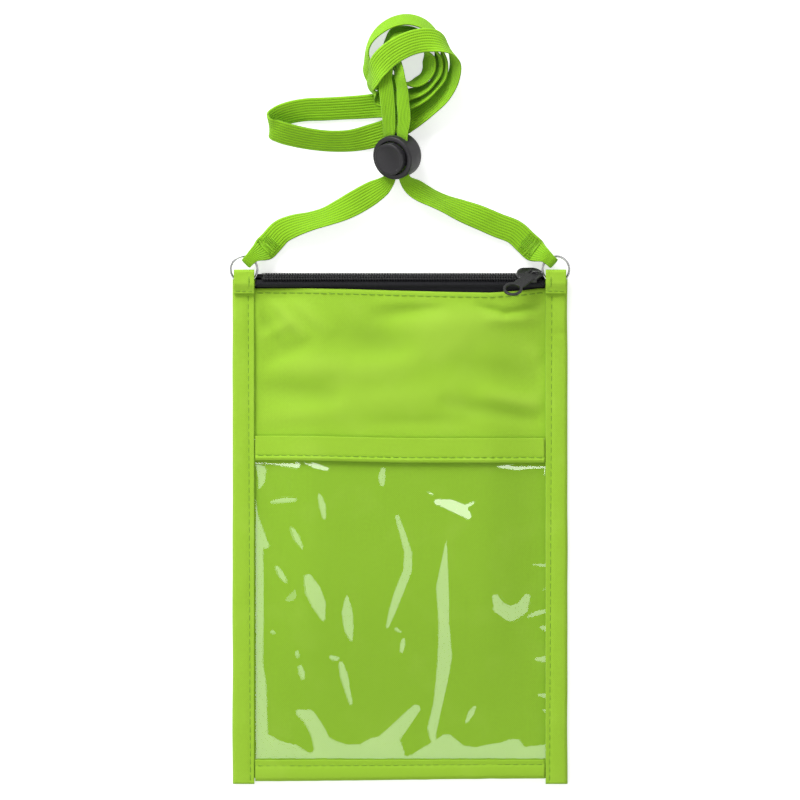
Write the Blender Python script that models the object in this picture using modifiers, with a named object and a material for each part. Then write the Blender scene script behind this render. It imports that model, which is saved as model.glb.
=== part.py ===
"""Neck wallet: a flat pouch with a clear pocket, a zipper, two rings and a wound lanyard with a cord lock.

Metres, +Z up. The wallet lies on its back with its front facing up, and its bottom rim towards -Y.
"""
import math

import bmesh
import bpy
import numpy as np
from mathutils import Matrix, Vector

NAME = "neck_wallet"
MM = 0.001

# Pouch, from the binding's bottom ends to the tab's tops
POUCH_WIDTH = 0.127
POUCH_HEIGHT = 0.195
CLEARANCE = 0.0003
CLOTH = 0.0004
VINYL = 0.00035
BINDING = 0.0005
BINDING_WIDTH = 0.0083
BOTTOM_BINDING_WIDTH = 0.0078
SIDE_BINDING_DROP = 0.0014
SIDE_BINDING_TOP_DROP = 0.0025
FRONT_TOP_DROP = 0.0071
BACK_TOP_DROP = 0.0030

# Heights of the cloth layers
RIM_LIFT = 0.0008
FRONT_RIM_HEIGHT = 0.0015
FRONT_RIM_RISE = 0.0014
BINDING_LEAF_HEIGHT = 0.00285
BINDING_LEAF_RISE = 0.00075
BELLY = 0.0035
BELLY_LOSS = 0.0012
BELLY_FLAT_HALF_WIDTH = 0.030
BELLY_BOTTOM = 0.080
RISE_START = 0.160
RISE_END = 0.180
BINDING_CORNER = 0.00035

# Clear pocket
HEADER_TOP = 0.1314
HEADER_WIDTH = 0.0093

# Tabs and rings
TAB_WIDTH = 0.0078
TAB_LENGTH = 0.0091
TAB_THICKNESS = 0.00045
TAB_SEAM = 0.0030
RING_RADIUS = 0.0055
RING_WIRE = 0.0009
RING_ABOVE_TAB = 0.0

# Zipper; across and above are measured in the chain's own tilted plane
CHAIN_BELOW_TAB = 0.00323
CHAIN_HEIGHT = 0.0045
CHAIN_TILT = math.radians(50)
COIL_FROM_SIDE = 0.0104
COIL_HALF_WIDTH = 0.0020
COIL_HEIGHT = 0.00115
COIL_SEAT = 0.00025
COIL_BAR_INNER = 0.00065
TOOTH_REACH = 0.00045
TOOTH_PITCH = 0.0010
TOOTH_WIDTH = 0.00025
TOOTH_END_MARGIN = 0.0018
ZIP_TAPE = 0.0004
ZIP_TAPE_INNER = 0.0006
ZIP_TAPE_RIDGE = 0.0028
ZIP_TAPE_HIDDEN = 0.0052
BACK_TAPE_FOLD = 0.0023
BACK_TAPE_HEIGHT = 0.0017
# Where the front tape climbs behind the cloth's edge: shares of the gap there and of the climb
FRONT_TAPE_CLIMB_SHARES = [(1.3, 0.4), (1.8, 0.75), (2.6, 0.94)]
# Where the back tape turns under: shares of the turn's radius, outwards and up
BACK_TAPE_TURN_SHARES = [(0.75, 1.1), (0.45, 0.25), (-0.6, 0.0)]

# Slider
SLIDER_LENGTH = 0.0090
SLIDER_HALF_WIDTH = 0.00305
SLIDER_PLATE = 0.00075
SLIDER_OVER_COIL = 0.0003
SLIDER_FLANGE = 0.0007
SLIDER_FLANGE_FOOT = 0.0001
SLIDER_BOTTOM_HALF_WIDTH = 0.0016
SLIDER_BOTTOM_PLATE = 0.0007
SLIDER_POST_THICKNESS = 0.0006
SLIDER_POST_LENGTH = 0.0016
SLIDER_POST_FROM_END = 0.0004
SLIDER_CORNER = 0.0012
SLIDER_FROM_SIDE = 0.0144
CROWN_OPENING = 0.0028
CROWN_WIRE = 0.00055
CROWN_WIDTH = 0.0010
CROWN_PLACE = 0.0023
CROWN_CORNER = 0.00018

# Pull
PULL_THICKNESS = 0.0008
PULL_BAR = 0.0006
PULL_EYE_LENGTH = 0.0024
PULL_EYE_HALF_WIDTH = 0.0020
PULL_RIM = 0.0007
PULL_RING_PLACE = 0.0132
PULL_RING_RADIUS = 0.0037
PULL_HOLE_RADIUS = 0.00265
PULL_NECK = 0.0036
PULL_LIFT = 0.0001
PULL_TURN = math.radians(228.7)

# Cord lock
TOGGLE_PLACE = Vector((-0.0014, 0.1376, 0.0096))
TOGGLE_AXIS = Vector((-0.49, -0.23, 0.84)).normalized()
TOGGLE_CORD_WAY = Vector((-0.05, 0.965, 0.235))
BARREL_RADIUS = 0.0085
BARREL_STRAIGHT = 0.0070
BARREL_DOME = 0.0052
BARREL_EDGE = 0.0006
BARREL_FRONT_TO_CORD = 0.0036
BORE_RADIUS = 0.0064
BORE_DEPTH = 0.0082
SPRING_BORE_RADIUS = 0.0052
SPRING_BORE_DEPTH = 0.0100
CORD_SLOT_WIDTH = 0.0110
CORD_SLOT_HEIGHT = 0.0022
CORD_SLOT_CORNER = 0.00044
BUTTON_RADIUS = 0.0061
BUTTON_PROUD = 0.0024
BUTTON_END = 0.0057
BUTTON_EDGE = 0.0005
BUTTON_TRAVEL = 0.0022
SPRING_WIRE = 0.0005
SPRING_TURNS = 3
SPRING_TOP_RADIUS = 0.0034
SPRING_BOTTOM_RADIUS = 0.0046
SPRING_POINTS_PER_TURN = 12

# Lanyard
LANYARD_THICKNESS = 0.0012
LANYARD_END_THICKNESS = 0.0010
LANYARD_JOIN = 0.0003
LANYARD_STEP = 0.0013
LANYARD_FAR = 0.011
LANYARD_MEASURE_STEP = 0.0006

# Lengths that only the modelling needs
OVERRUN = 0.0005
MERGE = 0.00001
LIFT_RUN = 0.0040
RIM_MARGIN = 0.0004

# The lanyard's route, from the left ring's side to the right one, in millimetres: a point on its
# middle, then the bearing and climb of its width in degrees, then the width that shows there
LANYARD_ROUTE = [
    (-48.7, 105.2, 2.6, -43, 0, 9.3),
    (-45.3, 108.9, 2.8, -50, 6, 9.3),
    (-41.0, 111.0, 3.4, -66, 20, 9.3),
    (-34.1, 113.0, 4.2, -75, 38, 9.3),
    (-28.1, 114.8, 4.4, -70, 38, 9.3),
    (-22.0, 117.4, 4.3, -62, 22, 9.3),
    (-16.0, 120.6, 4.6, -60, 5, 9.3),
    (-10.6, 123.8, 5.2, -52, 4, 8.8),
    (-6.3, 126.5, 5.5, -35, 18, 7.2),
    (-3.9, 129.3, 5.9, -10, 28, 5.2),
    (-3.7, 133.1, 7.3, -5, 29, 4.6),
    (-3.9, 137.5, 8.3, -5, 29, 4.6),
    (-4.1, 141.9, 9.4, -5, 29, 4.6),
    (-4.1, 146.4, 10.6, -5, 24, 5.0),
    (-4.2, 151.7, 11.6, -5, 10, 5.2),
    (-4.7, 157.8, 12.3, -6, 0, 5.5),
    (-5.2, 162.7, 12.4, -8, 4, 5.6),
    (-5.7, 168.0, 11.2, -10, 8, 5.5),
    (-5.0, 172.8, 9.6, -15, 58, 7.4),
    (-5.4, 177.4, 6.4, -50, 70, 9.3),
    (-4.2, 181.3, 5.3, -82, 62, 9.3),
    (-2.2, 183.9, 5.0, -85, 57, 9.3),
    (3.2, 184.6, 5.0, -90, 57, 9.3),
    (9.4, 182.3, 5.1, -90, 64, 9.3),
    (13.0, 178.4, 5.1, -90, 78, 9.3),
    (14.5, 174.1, 5.1, 0, 70, 9.3),
    (14.2, 169.5, 5.1, -30, 68, 9.3),
    (12.1, 165.4, 5.1, -90, 70, 9.3),
    (7.9, 162.5, 5.1, -90, 64, 9.3),
    (3.0, 161.0, 5.3, -90, 60, 9.3),
    (-1.6, 159.8, 6.6, -88, 48, 9.3),
    (-5.7, 159.7, 7.2, -85, 40, 9.3),
    (-9.2, 160.9, 7.1, -55, 34, 9.0),
    (-11.0, 164.4, 8.5, -8, 77, 9.2),
    (-9.7, 168.2, 12.0, -10, 56, 9.3),
    (-7.8, 171.9, 13.4, -35, 23, 9.3),
    (-4.6, 175.4, 14.0, -48, 8, 9.3),
    (-0.0, 178.5, 14.3, -58, 2, 9.3),
    (5.3, 180.7, 14.2, -68, 0, 9.3),
    (10.8, 181.5, 13.8, -80, 8, 9.3),
    (15.5, 180.4, 13.0, -85, 34, 9.3),
    (19.1, 177.3, 11.2, -60, 66, 9.3),
    (21.0, 172.9, 9.2, 0, 66, 9.3),
    (20.1, 167.1, 7.2, -22, 58, 9.3),
    (16.7, 161.1, 5.8, -42, 52, 9.3),
    (10.7, 156.0, 4.4, -52, 42, 9.3),
    (4.1, 151.7, 3.0, -64, 26, 9.3),
    (-3.4, 147.8, 1.3, -70, 2, 9.3),
    (-10.6, 145.4, 1.7, -76, -8, 9.3),
    (-18.2, 143.7, 3.0, -85, -26, 9.3),
    (-25.8, 143.4, 3.6, -92, -31, 9.3),
    (-33.4, 144.1, 4.4, -95, -31, 9.3),
    (-40.2, 145.4, 5.8, -92, -30, 9.3),
    (-45.5, 146.9, 6.8, -88, -28, 9.3),
    (-48.7, 148.4, 6.4, -82, -24, 9.3),
    (-49.1, 150.6, 4.6, -80, -26, 9.3),
    (-46.7, 152.5, 3.0, -82, -28, 9.3),
    (-42.1, 154.2, 2.6, -85, -25, 9.3),
    (-36.0, 155.3, 2.5, -88, -22, 9.3),
    (-28.8, 155.6, 2.5, -90, -20, 9.3),
    (-21.3, 156.0, 2.4, -90, -20, 9.3),
    (-14.4, 156.4, 2.1, -90, -14, 9.3),
    (-8.4, 156.9, 1.6, -90, -2, 9.3),
    (-2.7, 156.8, 3.6, -90, 34, 9.3),
    (3.0, 157.5, 4.8, -90, 56, 9.3),
    (7.9, 159.4, 5.1, -90, 63, 9.3),
    (12.7, 162.8, 5.1, -90, 70, 9.3),
    (15.9, 167.4, 5.1, -30, 70, 9.3),
    (16.6, 172.9, 5.1, 0, 72, 9.3),
    (15.6, 178.6, 5.1, -80, 78, 9.3),
    (13.0, 184.1, 5.1, -90, 66, 9.3),
    (8.7, 187.9, 5.1, -90, 63, 9.3),
    (3.0, 189.5, 5.1, -90, 63, 9.3),
    (-2.3, 188.6, 5.1, -90, 63, 9.3),
    (-7.2, 185.8, 5.1, -90, 64, 9.3),
    (-10.9, 181.6, 5.1, -90, 70, 9.3),
    (-12.5, 176.9, 5.1, -60, 80, 9.3),
    (-11.8, 172.3, 4.5, -5, 67, 9.3),
    (-10.0, 168.5, 3.2, 5, 34, 9.2),
    (-7.2, 166.3, 3.4, 45, 32, 9.3),
    (-4.0, 166.0, 3.4, 88, 39, 9.2),
    (-0.9, 165.7, 4.2, 90, 61, 8.8),
    (1.9, 165.3, 4.7, 90, 87, 8.8),
    (5.5, 165.5, 5.1, -90, 68, 9.3),
    (8.9, 167.2, 5.1, -70, 62, 9.3),
    (10.9, 170.3, 5.1, -25, 58, 9.3),
    (11.0, 174.1, 5.1, 5, 58, 9.3),
    (9.6, 177.5, 5.1, -50, 76, 9.3),
    (7.2, 180.5, 5.1, -90, 63, 9.3),
    (3.0, 180.6, 5.1, -90, 64, 9.3),
    (-0.2, 178.7, 5.3, -70, 70, 9.3),
    (-1.6, 175.4, 6.0, -20, 72, 9.0),
    (-0.9, 171.7, 10.0, -8, 70, 7.2),
    (-0.1, 167.6, 12.5, -8, 48, 5.6),
    (0.8, 163.1, 12.6, -8, 28, 5.0),
    (1.2, 157.4, 12.9, -6, 8, 4.9),
    (1.6, 151.7, 13.3, -5, 10, 5.0),
    (1.0, 146.3, 13.2, -5, 26, 4.7),
    (0.9, 141.9, 12.0, -5, 29, 4.6),
    (1.0, 137.8, 10.9, -5, 29, 4.6),
    (1.2, 133.5, 9.9, -5, 29, 4.8),
    (1.6, 129.7, 9.1, 2, 27, 5.0),
    (3.9, 126.8, 7.6, 30, 4, 6.4),
    (7.5, 124.3, 6.4, 48, -26, 8.0),
    (12.1, 121.9, 5.4, 58, -44, 9.3),
    (17.4, 119.5, 4.8, 63, -42, 9.3),
    (23.5, 117.0, 4.3, 66, -26, 9.3),
    (30.3, 114.4, 3.6, 67, -10, 9.3),
    (37.1, 111.5, 2.8, 66, -4, 9.3),
    (43.5, 108.9, 2.6, 52, 0, 9.3),
    (47.7, 105.1, 2.6, 47, 0, 9.3),
]
# Rows of the route that lie in the middle of the cord lock's hole
LEFT_LOCK_ROW = 11
RIGHT_LOCK_ROW = 99

# A lanyard end, from its sewn-down tail round the ring's wire: distance from the ring's middle,
# height above the ring's wire, width and shift off the line to the run, in millimetres
LANYARD_END_ROUTE = [
    (14.0, -4.6, 9.3, 0.0),
    (11.0, -4.6, 9.3, 0.0),
    (8.8, -3.6, 7.6, -0.4),
    (7.2, -2.1, 6.0, -0.9),
    (5.9, -1.35, 5.0, -1.1),
    (4.4, -1.25, 4.5, -1.1),
    (3.45, -1.25, 4.4, -1.1),
    (2.57, -0.88, 4.4, -1.1),
    (2.2, 0.0, 4.4, -1.1),
    (2.57, 0.88, 4.4, -1.1),
    (3.45, 1.25, 4.4, -1.1),
    (4.4, 1.25, 4.5, -1.1),
    (5.9, 1.2, 5.0, -1.1),
    (7.2, 0.7, 6.0, -0.9),
    (8.8, -0.7, 7.6, -0.4),
    (11.0, -2.5, 9.3, 0.0),
]

# Worked out from the sizes above
BOTTOM = -(POUCH_HEIGHT + RING_ABOVE_TAB + RING_RADIUS) / 2
TAB_TOP = BOTTOM + POUCH_HEIGHT
FRONT_TOP = TAB_TOP - FRONT_TOP_DROP
BACK_TOP = TAB_TOP - BACK_TOP_DROP
INNER_EDGE = POUCH_WIDTH / 2 - BINDING_WIDTH - CLEARANCE
BELLY_EDGE = INNER_EDGE - RIM_MARGIN
PANEL_EDGE = POUCH_WIDTH / 2 - BINDING - CLEARANCE
PANEL_BOTTOM = BOTTOM + SIDE_BINDING_DROP + BINDING + CLEARANCE
LOW_RIM = BOTTOM + SIDE_BINDING_DROP + BOTTOM_BINDING_WIDTH + CLEARANCE
HEADER_BOTTOM = BOTTOM + HEADER_TOP - HEADER_WIDTH
COIL_END = POUCH_WIDTH / 2 - COIL_FROM_SIDE
SLIDER_REST = POUCH_WIDTH / 2 - SLIDER_FROM_SIDE
PULL_BAR_DIAGONAL = math.hypot(PULL_BAR, PULL_THICKNESS)


def clear_scene():
    """Remove what the file opened with."""
    for item in list(bpy.data.objects):
        bpy.data.objects.remove(item, do_unlink=True)


def new_collection(name):
    made = bpy.data.collections.new(name)
    bpy.context.scene.collection.children.link(made)
    return made


def new_material(name, colour, roughness, metallic=0.0):
    made = bpy.data.materials.new(name)
    made.use_nodes = True
    shader = made.node_tree.nodes["Principled BSDF"]
    shader.inputs["Base Color"].default_value = (*colour, 1.0)
    shader.inputs["Roughness"].default_value = roughness
    shader.inputs["Metallic"].default_value = metallic
    return made


def add_object(name, data, material=None, frame=None):
    """Put mesh or curve data in the wallet's collection, in the frame of a matrix."""
    item = bpy.data.objects.new(name, data)
    PARTS.objects.link(item)
    if material:
        data.materials.append(material)
    if frame:
        item.matrix_world = frame
    return item


def add_helper(name, data, frame=None):
    """Put the shape that a Boolean modifier reads out of the render."""
    item = bpy.data.objects.new(name, data)
    HELPERS.objects.link(item)
    item.hide_render = True
    item.display_type = "WIRE"
    if frame:
        item.matrix_world = frame
    return item


def boolean(item, helper, operation):
    modifier = item.modifiers.new(helper.name, "BOOLEAN")
    modifier.operation = operation
    modifier.object = helper
    modifier.solver = "EXACT"


def box_mesh(name, low, high, corner=0.0, upright_only=True):
    """A box between two corners, its upright edges or all its edges rounded."""
    bm = bmesh.new()
    bmesh.ops.create_cube(bm, size=1.0)
    for vert in bm.verts:
        share = vert.co + Vector((0.5, 0.5, 0.5))
        vert.co = Vector([a + (b - a) * s for a, b, s in zip(low, high, share)])
    if corner:
        edges = []
        for edge in bm.edges:
            way = edge.verts[1].co - edge.verts[0].co
            if not upright_only or abs(way.z) > abs(way.x) + abs(way.y):
                edges.append(edge)
        bmesh.ops.bevel(bm, geom=edges, offset=corner, segments=4, profile=0.5, affect="EDGES")
    mesh = bpy.data.meshes.new(name)
    bm.to_mesh(mesh)
    bm.free()
    return mesh


def sheet(name, rows, columns, place, thickness, material):
    """A shell: a grid whose corners a function places by row and column, thickened both ways."""
    bm = bmesh.new()
    bmesh.ops.create_grid(bm, x_segments=len(columns) - 1, y_segments=len(rows) - 1, size=1.0)
    for vert in bm.verts:
        column = columns[round((vert.co.x + 1) / 2 * (len(columns) - 1))]
        row = rows[round((vert.co.y + 1) / 2 * (len(rows) - 1))]
        vert.co = place(row, column)
    mesh = bpy.data.meshes.new(name)
    bm.to_mesh(mesh)
    bm.free()
    item = add_object(name, mesh, material)
    solid = item.modifiers.new("Thickness", "SOLIDIFY")
    solid.thickness = thickness
    solid.offset = 0.0
    return item


def flat_outline(name, loops, thickness, material, frame):
    """A flat piece: closed outlines, the later ones its holes, filled and given a thickness."""
    curve = bpy.data.curves.new(name, "CURVE")
    curve.dimensions = "2D"
    curve.fill_mode = "BOTH"
    curve.extrude = thickness / 2
    for loop in loops:
        spline = curve.splines.new("POLY")
        spline.points.add(len(loop) - 1)
        for point, (x, y) in zip(spline.points, loop):
            point.co = (x, y, 0.0, 1.0)
        spline.use_cyclic_u = True
    return add_object(name, curve, material, frame)


def turned(name, profile, steps, material, frame):
    """A turned piece: a profile of radius and height swept round its own Z."""
    mesh = bpy.data.meshes.new(name)
    bm = bmesh.new()
    verts = [bm.verts.new((radius, 0.0, height)) for radius, height in profile]
    for first, second in zip(verts, verts[1:]):
        bm.edges.new((first, second))
    bm.to_mesh(mesh)
    bm.free()
    item = add_object(name, mesh, material, frame)
    screw = item.modifiers.new("Turn", "SCREW")
    screw.axis = "Z"
    screw.angle = math.tau
    screw.steps = steps
    screw.render_steps = steps
    screw.use_merge_vertices = True
    screw.merge_threshold = MERGE
    screw.use_normal_calculate = True
    return item


def smooth_share(value, start, end):
    """Zero before start, one after end, and an S between them."""
    share = min(1.0, max(0.0, (value - start) / (end - start)))
    return share * share * (3 - 2 * share)


def front_bottom(x, y):
    """Height of the front cloth's underside."""
    rise = smooth_share(y, BOTTOM + RISE_START, BOTTOM + RISE_END)
    across = 1 - smooth_share(abs(x), BELLY_FLAT_HALF_WIDTH, BELLY_EDGE)
    along = smooth_share(y, LOW_RIM, BOTTOM + BELLY_BOTTOM)
    belly = (BELLY - BELLY_LOSS * rise) * across * along
    return FRONT_RIM_HEIGHT + FRONT_RIM_RISE * rise + belly


def back_bottom(x, y):
    """Height of the back cloth's underside: flat on the ground, lifted into the bindings."""
    side = smooth_share(abs(x), BELLY_EDGE - LIFT_RUN, BELLY_EDGE)
    low = 1 - smooth_share(y, LOW_RIM, LOW_RIM + LIFT_RUN)
    high = smooth_share(y, BOTTOM + RISE_END - LIFT_RUN, BOTTOM + RISE_END)
    return RIM_LIFT * max(side, low, high)


def leaf_bottom(y):
    """Height of the underside of a side binding's front leaf."""
    rise = smooth_share(y, BOTTOM + RISE_START, BOTTOM + RISE_END)
    return BINDING_LEAF_HEIGHT + BINDING_LEAF_RISE * rise


def cloth_columns(edge):
    """Grid lines across the wallet, close where the cloth curves."""
    lines = [edge, BELLY_EDGE, BELLY_EDGE - LIFT_RUN / 2, BELLY_EDGE - LIFT_RUN]
    curve = BELLY_EDGE - LIFT_RUN - BELLY_FLAT_HALF_WIDTH
    lines += [BELLY_FLAT_HALF_WIDTH + curve * share for share in (0.75, 0.5, 0.25, 0)]
    lines += [BELLY_FLAT_HALF_WIDTH / 2]
    return [-line for line in lines] + [0.0] + lines[::-1]


def cloth_rows(top):
    """Grid lines up the wallet, from the panels' bottom edge to a top edge."""
    lines = [PANEL_BOTTOM, LOW_RIM, LOW_RIM + LIFT_RUN / 2, LOW_RIM + LIFT_RUN]
    low, high = LOW_RIM + LIFT_RUN, BOTTOM + BELLY_BOTTOM
    lines += [low + (high - low) * share for share in (0.17, 0.34, 0.5, 0.67, 0.84, 1.0)]
    lines += [HEADER_BOTTOM, BOTTOM + HEADER_TOP]
    low, high = BOTTOM + RISE_START, BOTTOM + RISE_END
    lines += [low + (high - low) * share for share in (0.0, 0.2, 0.4, 0.6, 0.8, 1.0)]
    return [line for line in lines if line < top - CLEARANCE] + [top]


def back_panel():
    def place(y, x):
        return Vector((x, y, back_bottom(x, y) + CLOTH / 2))

    rows = cloth_rows(BACK_TOP)
    sheet("back_panel", rows, cloth_columns(PANEL_EDGE), place, CLOTH, GREEN_CLOTH)


def front_panel():
    def place(y, x):
        return Vector((x, y, front_bottom(x, y) + CLOTH / 2))

    rows = cloth_rows(FRONT_TOP)
    sheet("front_panel", rows, cloth_columns(PANEL_EDGE), place, CLOTH, GREEN_CLOTH)


def window():
    """The clear pocket and the cloth strip across its mouth."""
    vinyl_middle = CLOTH + CLEARANCE + VINYL / 2

    def vinyl_place(y, x):
        return Vector((x, y, front_bottom(x, y) + vinyl_middle))

    rows = cloth_rows(BOTTOM + HEADER_TOP - CLEARANCE)
    sheet("window_sheet", rows, cloth_columns(PANEL_EDGE), vinyl_place, VINYL, CLEAR_VINYL)
    header_middle = CLOTH + CLEARANCE + VINYL + CLEARANCE + BINDING / 2

    def header_place(y, x):
        return Vector((x, y, front_bottom(x, y) + header_middle))

    rows = [HEADER_BOTTOM, BOTTOM + HEADER_TOP]
    sheet("window_header", rows, cloth_columns(INNER_EDGE), header_place, BINDING, GREEN_CLOTH)


def binding_section(width, front_middle):
    """A strip folded round a rim: distance from its inner edge and height, on the cloth's middle."""
    outer = width - BINDING / 2
    low = BINDING / 2
    bend = BINDING_CORNER
    half = bend * (1 - math.cos(math.pi / 4))
    return [
        (0.0, low),
        (outer - bend, low),
        (outer - half, low + half),
        (outer, low + bend),
        (outer, front_middle - bend),
        (outer - half, front_middle - half),
        (outer - bend, front_middle),
        (0.0, front_middle),
    ]


def bottom_binding():
    section = binding_section(BOTTOM_BINDING_WIDTH, BINDING_LEAF_HEIGHT + BINDING / 2)
    inner = BOTTOM + SIDE_BINDING_DROP + BOTTOM_BINDING_WIDTH

    def place(x, index):
        out, height = section[index]
        return Vector((x, inner - out, height))

    sheet("bottom_binding", [-INNER_EDGE, INNER_EDGE], range(len(section)), place, BINDING, GREEN_CLOTH)


def side_binding(name, side):
    inner = POUCH_WIDTH / 2 - BINDING_WIDTH

    def place(y, index):
        out, height = binding_section(BINDING_WIDTH, leaf_bottom(y) + BINDING / 2)[index]
        return Vector((side * (inner + out), y, height))

    low, high = BOTTOM + RISE_START, BOTTOM + RISE_END
    rows = [BOTTOM] + [low + (high - low) * share for share in (0.0, 0.25, 0.5, 0.75, 1.0)]
    rows += [TAB_TOP - SIDE_BINDING_TOP_DROP]
    sheet(name, rows, range(8), place, BINDING, GREEN_CLOTH)


def tab(name, side):
    """A loop of cloth: its rear leaf on the binding, its fold round the ring's wire."""
    rear = leaf_bottom(TAB_TOP) + BINDING + CLEARANCE + TAB_THICKNESS / 2
    radius = (RING_WIRE + 2 * CLEARANCE + TAB_THICKNESS) / 2
    foot = TAB_TOP - TAB_LENGTH
    fold = TAB_TOP - TAB_THICKNESS / 2 - radius
    path = [(foot, rear), (fold, rear)]
    for step in range(1, 6):
        angle = math.pi * step / 6
        path.append((fold + radius * math.sin(angle), rear + radius * (1 - math.cos(angle))))
    path += [(fold, rear + 2 * radius), (foot + TAB_SEAM, rear + 2 * radius)]
    pressed = rear + TAB_THICKNESS + CLEARANCE
    path += [(foot + TAB_SEAM / 2, (rear + 2 * radius + pressed) / 2), (foot, pressed)]
    inner = POUCH_WIDTH / 2 - BINDING_WIDTH

    def place(x, index):
        y, height = path[index]
        return Vector((side * x, y, height))

    columns = range(len(path))
    sheet(name, [inner, inner + TAB_WIDTH], columns, place, TAB_THICKNESS, GREEN_CLOTH)
    return Vector((side * (inner + TAB_WIDTH / 2), TAB_TOP + RING_ABOVE_TAB, rear + radius))


def ring(name, centre):
    bpy.ops.mesh.primitive_torus_add(
        location=centre,
        major_radius=RING_RADIUS - RING_WIRE / 2,
        minor_radius=RING_WIRE / 2,
        major_segments=32,
        minor_segments=8,
    )
    item = bpy.context.object
    item.name = name
    item.data.materials.append(STEEL)
    for collection in list(item.users_collection):
        collection.objects.unlink(item)
    PARTS.objects.link(item)


def chain_frame(x=0.0):
    """The tilted plane of the zipper's chain: local X along it, local Y across it, local Z out."""
    place = Matrix.Translation((x, TAB_TOP - CHAIN_BELOW_TAB, CHAIN_HEIGHT))
    return place @ Matrix.Rotation(-CHAIN_TILT, 4, "X")


def zipper_tapes():
    """Two tapes: one rises from under the front cloth, the other turns under the chain."""
    frame = chain_frame()
    seat = -COIL_SEAT - ZIP_TAPE / 2
    ridge = frame @ Vector((0.0, -ZIP_TAPE_RIDGE, seat))
    inner = frame @ Vector((0.0, -ZIP_TAPE_INNER, seat))
    columns = cloth_columns(INNER_EDGE)

    def front_place(x, index):
        low = front_bottom(x, FRONT_TOP) - CLEARANCE - ZIP_TAPE / 2
        hidden = front_bottom(x, FRONT_TOP - ZIP_TAPE_HIDDEN) - CLEARANCE - ZIP_TAPE / 2
        gap = CLEARANCE + ZIP_TAPE / 2
        path = [
            (FRONT_TOP - ZIP_TAPE_HIDDEN, hidden),
            (FRONT_TOP, low),
            (FRONT_TOP + gap, low + gap / 2),
        ]
        for back, up in FRONT_TAPE_CLIMB_SHARES:
            path.append((FRONT_TOP + gap * back, low + (ridge.z - low) * up))
        path += [(ridge.y, ridge.z)]
        path += [((ridge.y + inner.y) / 2, (ridge.z + inner.z) / 2)]
        path += [(inner.y, inner.z)]
        y, z = path[index]
        return Vector((x, y, z))

    sheet("zipper_front_tape", columns, range(9), front_place, ZIP_TAPE, BLACK_TAPE)
    start = frame @ Vector((0.0, ZIP_TAPE_INNER, seat))
    turn = frame @ Vector((0.0, BACK_TAPE_FOLD, seat))
    bend = (turn.z - BACK_TAPE_HEIGHT) / 2
    path = [(start.y, start.z), (turn.y, turn.z)]
    for out, up in BACK_TAPE_TURN_SHARES:
        path.append((turn.y + bend * out, BACK_TAPE_HEIGHT + bend * up))
    path.append((FRONT_TOP - ZIP_TAPE_HIDDEN, BACK_TAPE_HEIGHT))

    def back_place(x, index):
        return Vector((x, *path[index]))

    ends = [-INNER_EDGE, INNER_EDGE]
    sheet("zipper_back_tape", ends, range(len(path)), back_place, ZIP_TAPE, BLACK_TAPE)


def coil(name, side, shift):
    """One row of teeth on its bar, as a comb whose teeth reach past the chain's middle."""
    outline = [(-COIL_END, side * COIL_HALF_WIDTH), (COIL_END, side * COIL_HALF_WIDTH)]
    outline.append((COIL_END, side * COIL_BAR_INNER))
    last = COIL_END - TOOTH_END_MARGIN
    count = int(last / TOOTH_PITCH)
    for number in range(count, -count - 1, -1):
        middle = (number + shift) * TOOTH_PITCH
        if abs(middle) > last:
            continue
        for way, reach in ((1, COIL_BAR_INNER), (1, -TOOTH_REACH), (-1, -TOOTH_REACH), (-1, COIL_BAR_INNER)):
            outline.append((middle + way * TOOTH_WIDTH / 2, side * reach))
    outline.append((-COIL_END, side * COIL_BAR_INNER))
    frame = chain_frame() @ Matrix.Translation((0.0, 0.0, COIL_HEIGHT / 2))
    flat_outline(name, [outline], COIL_HEIGHT, BLACK_NYLON, frame)


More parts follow.
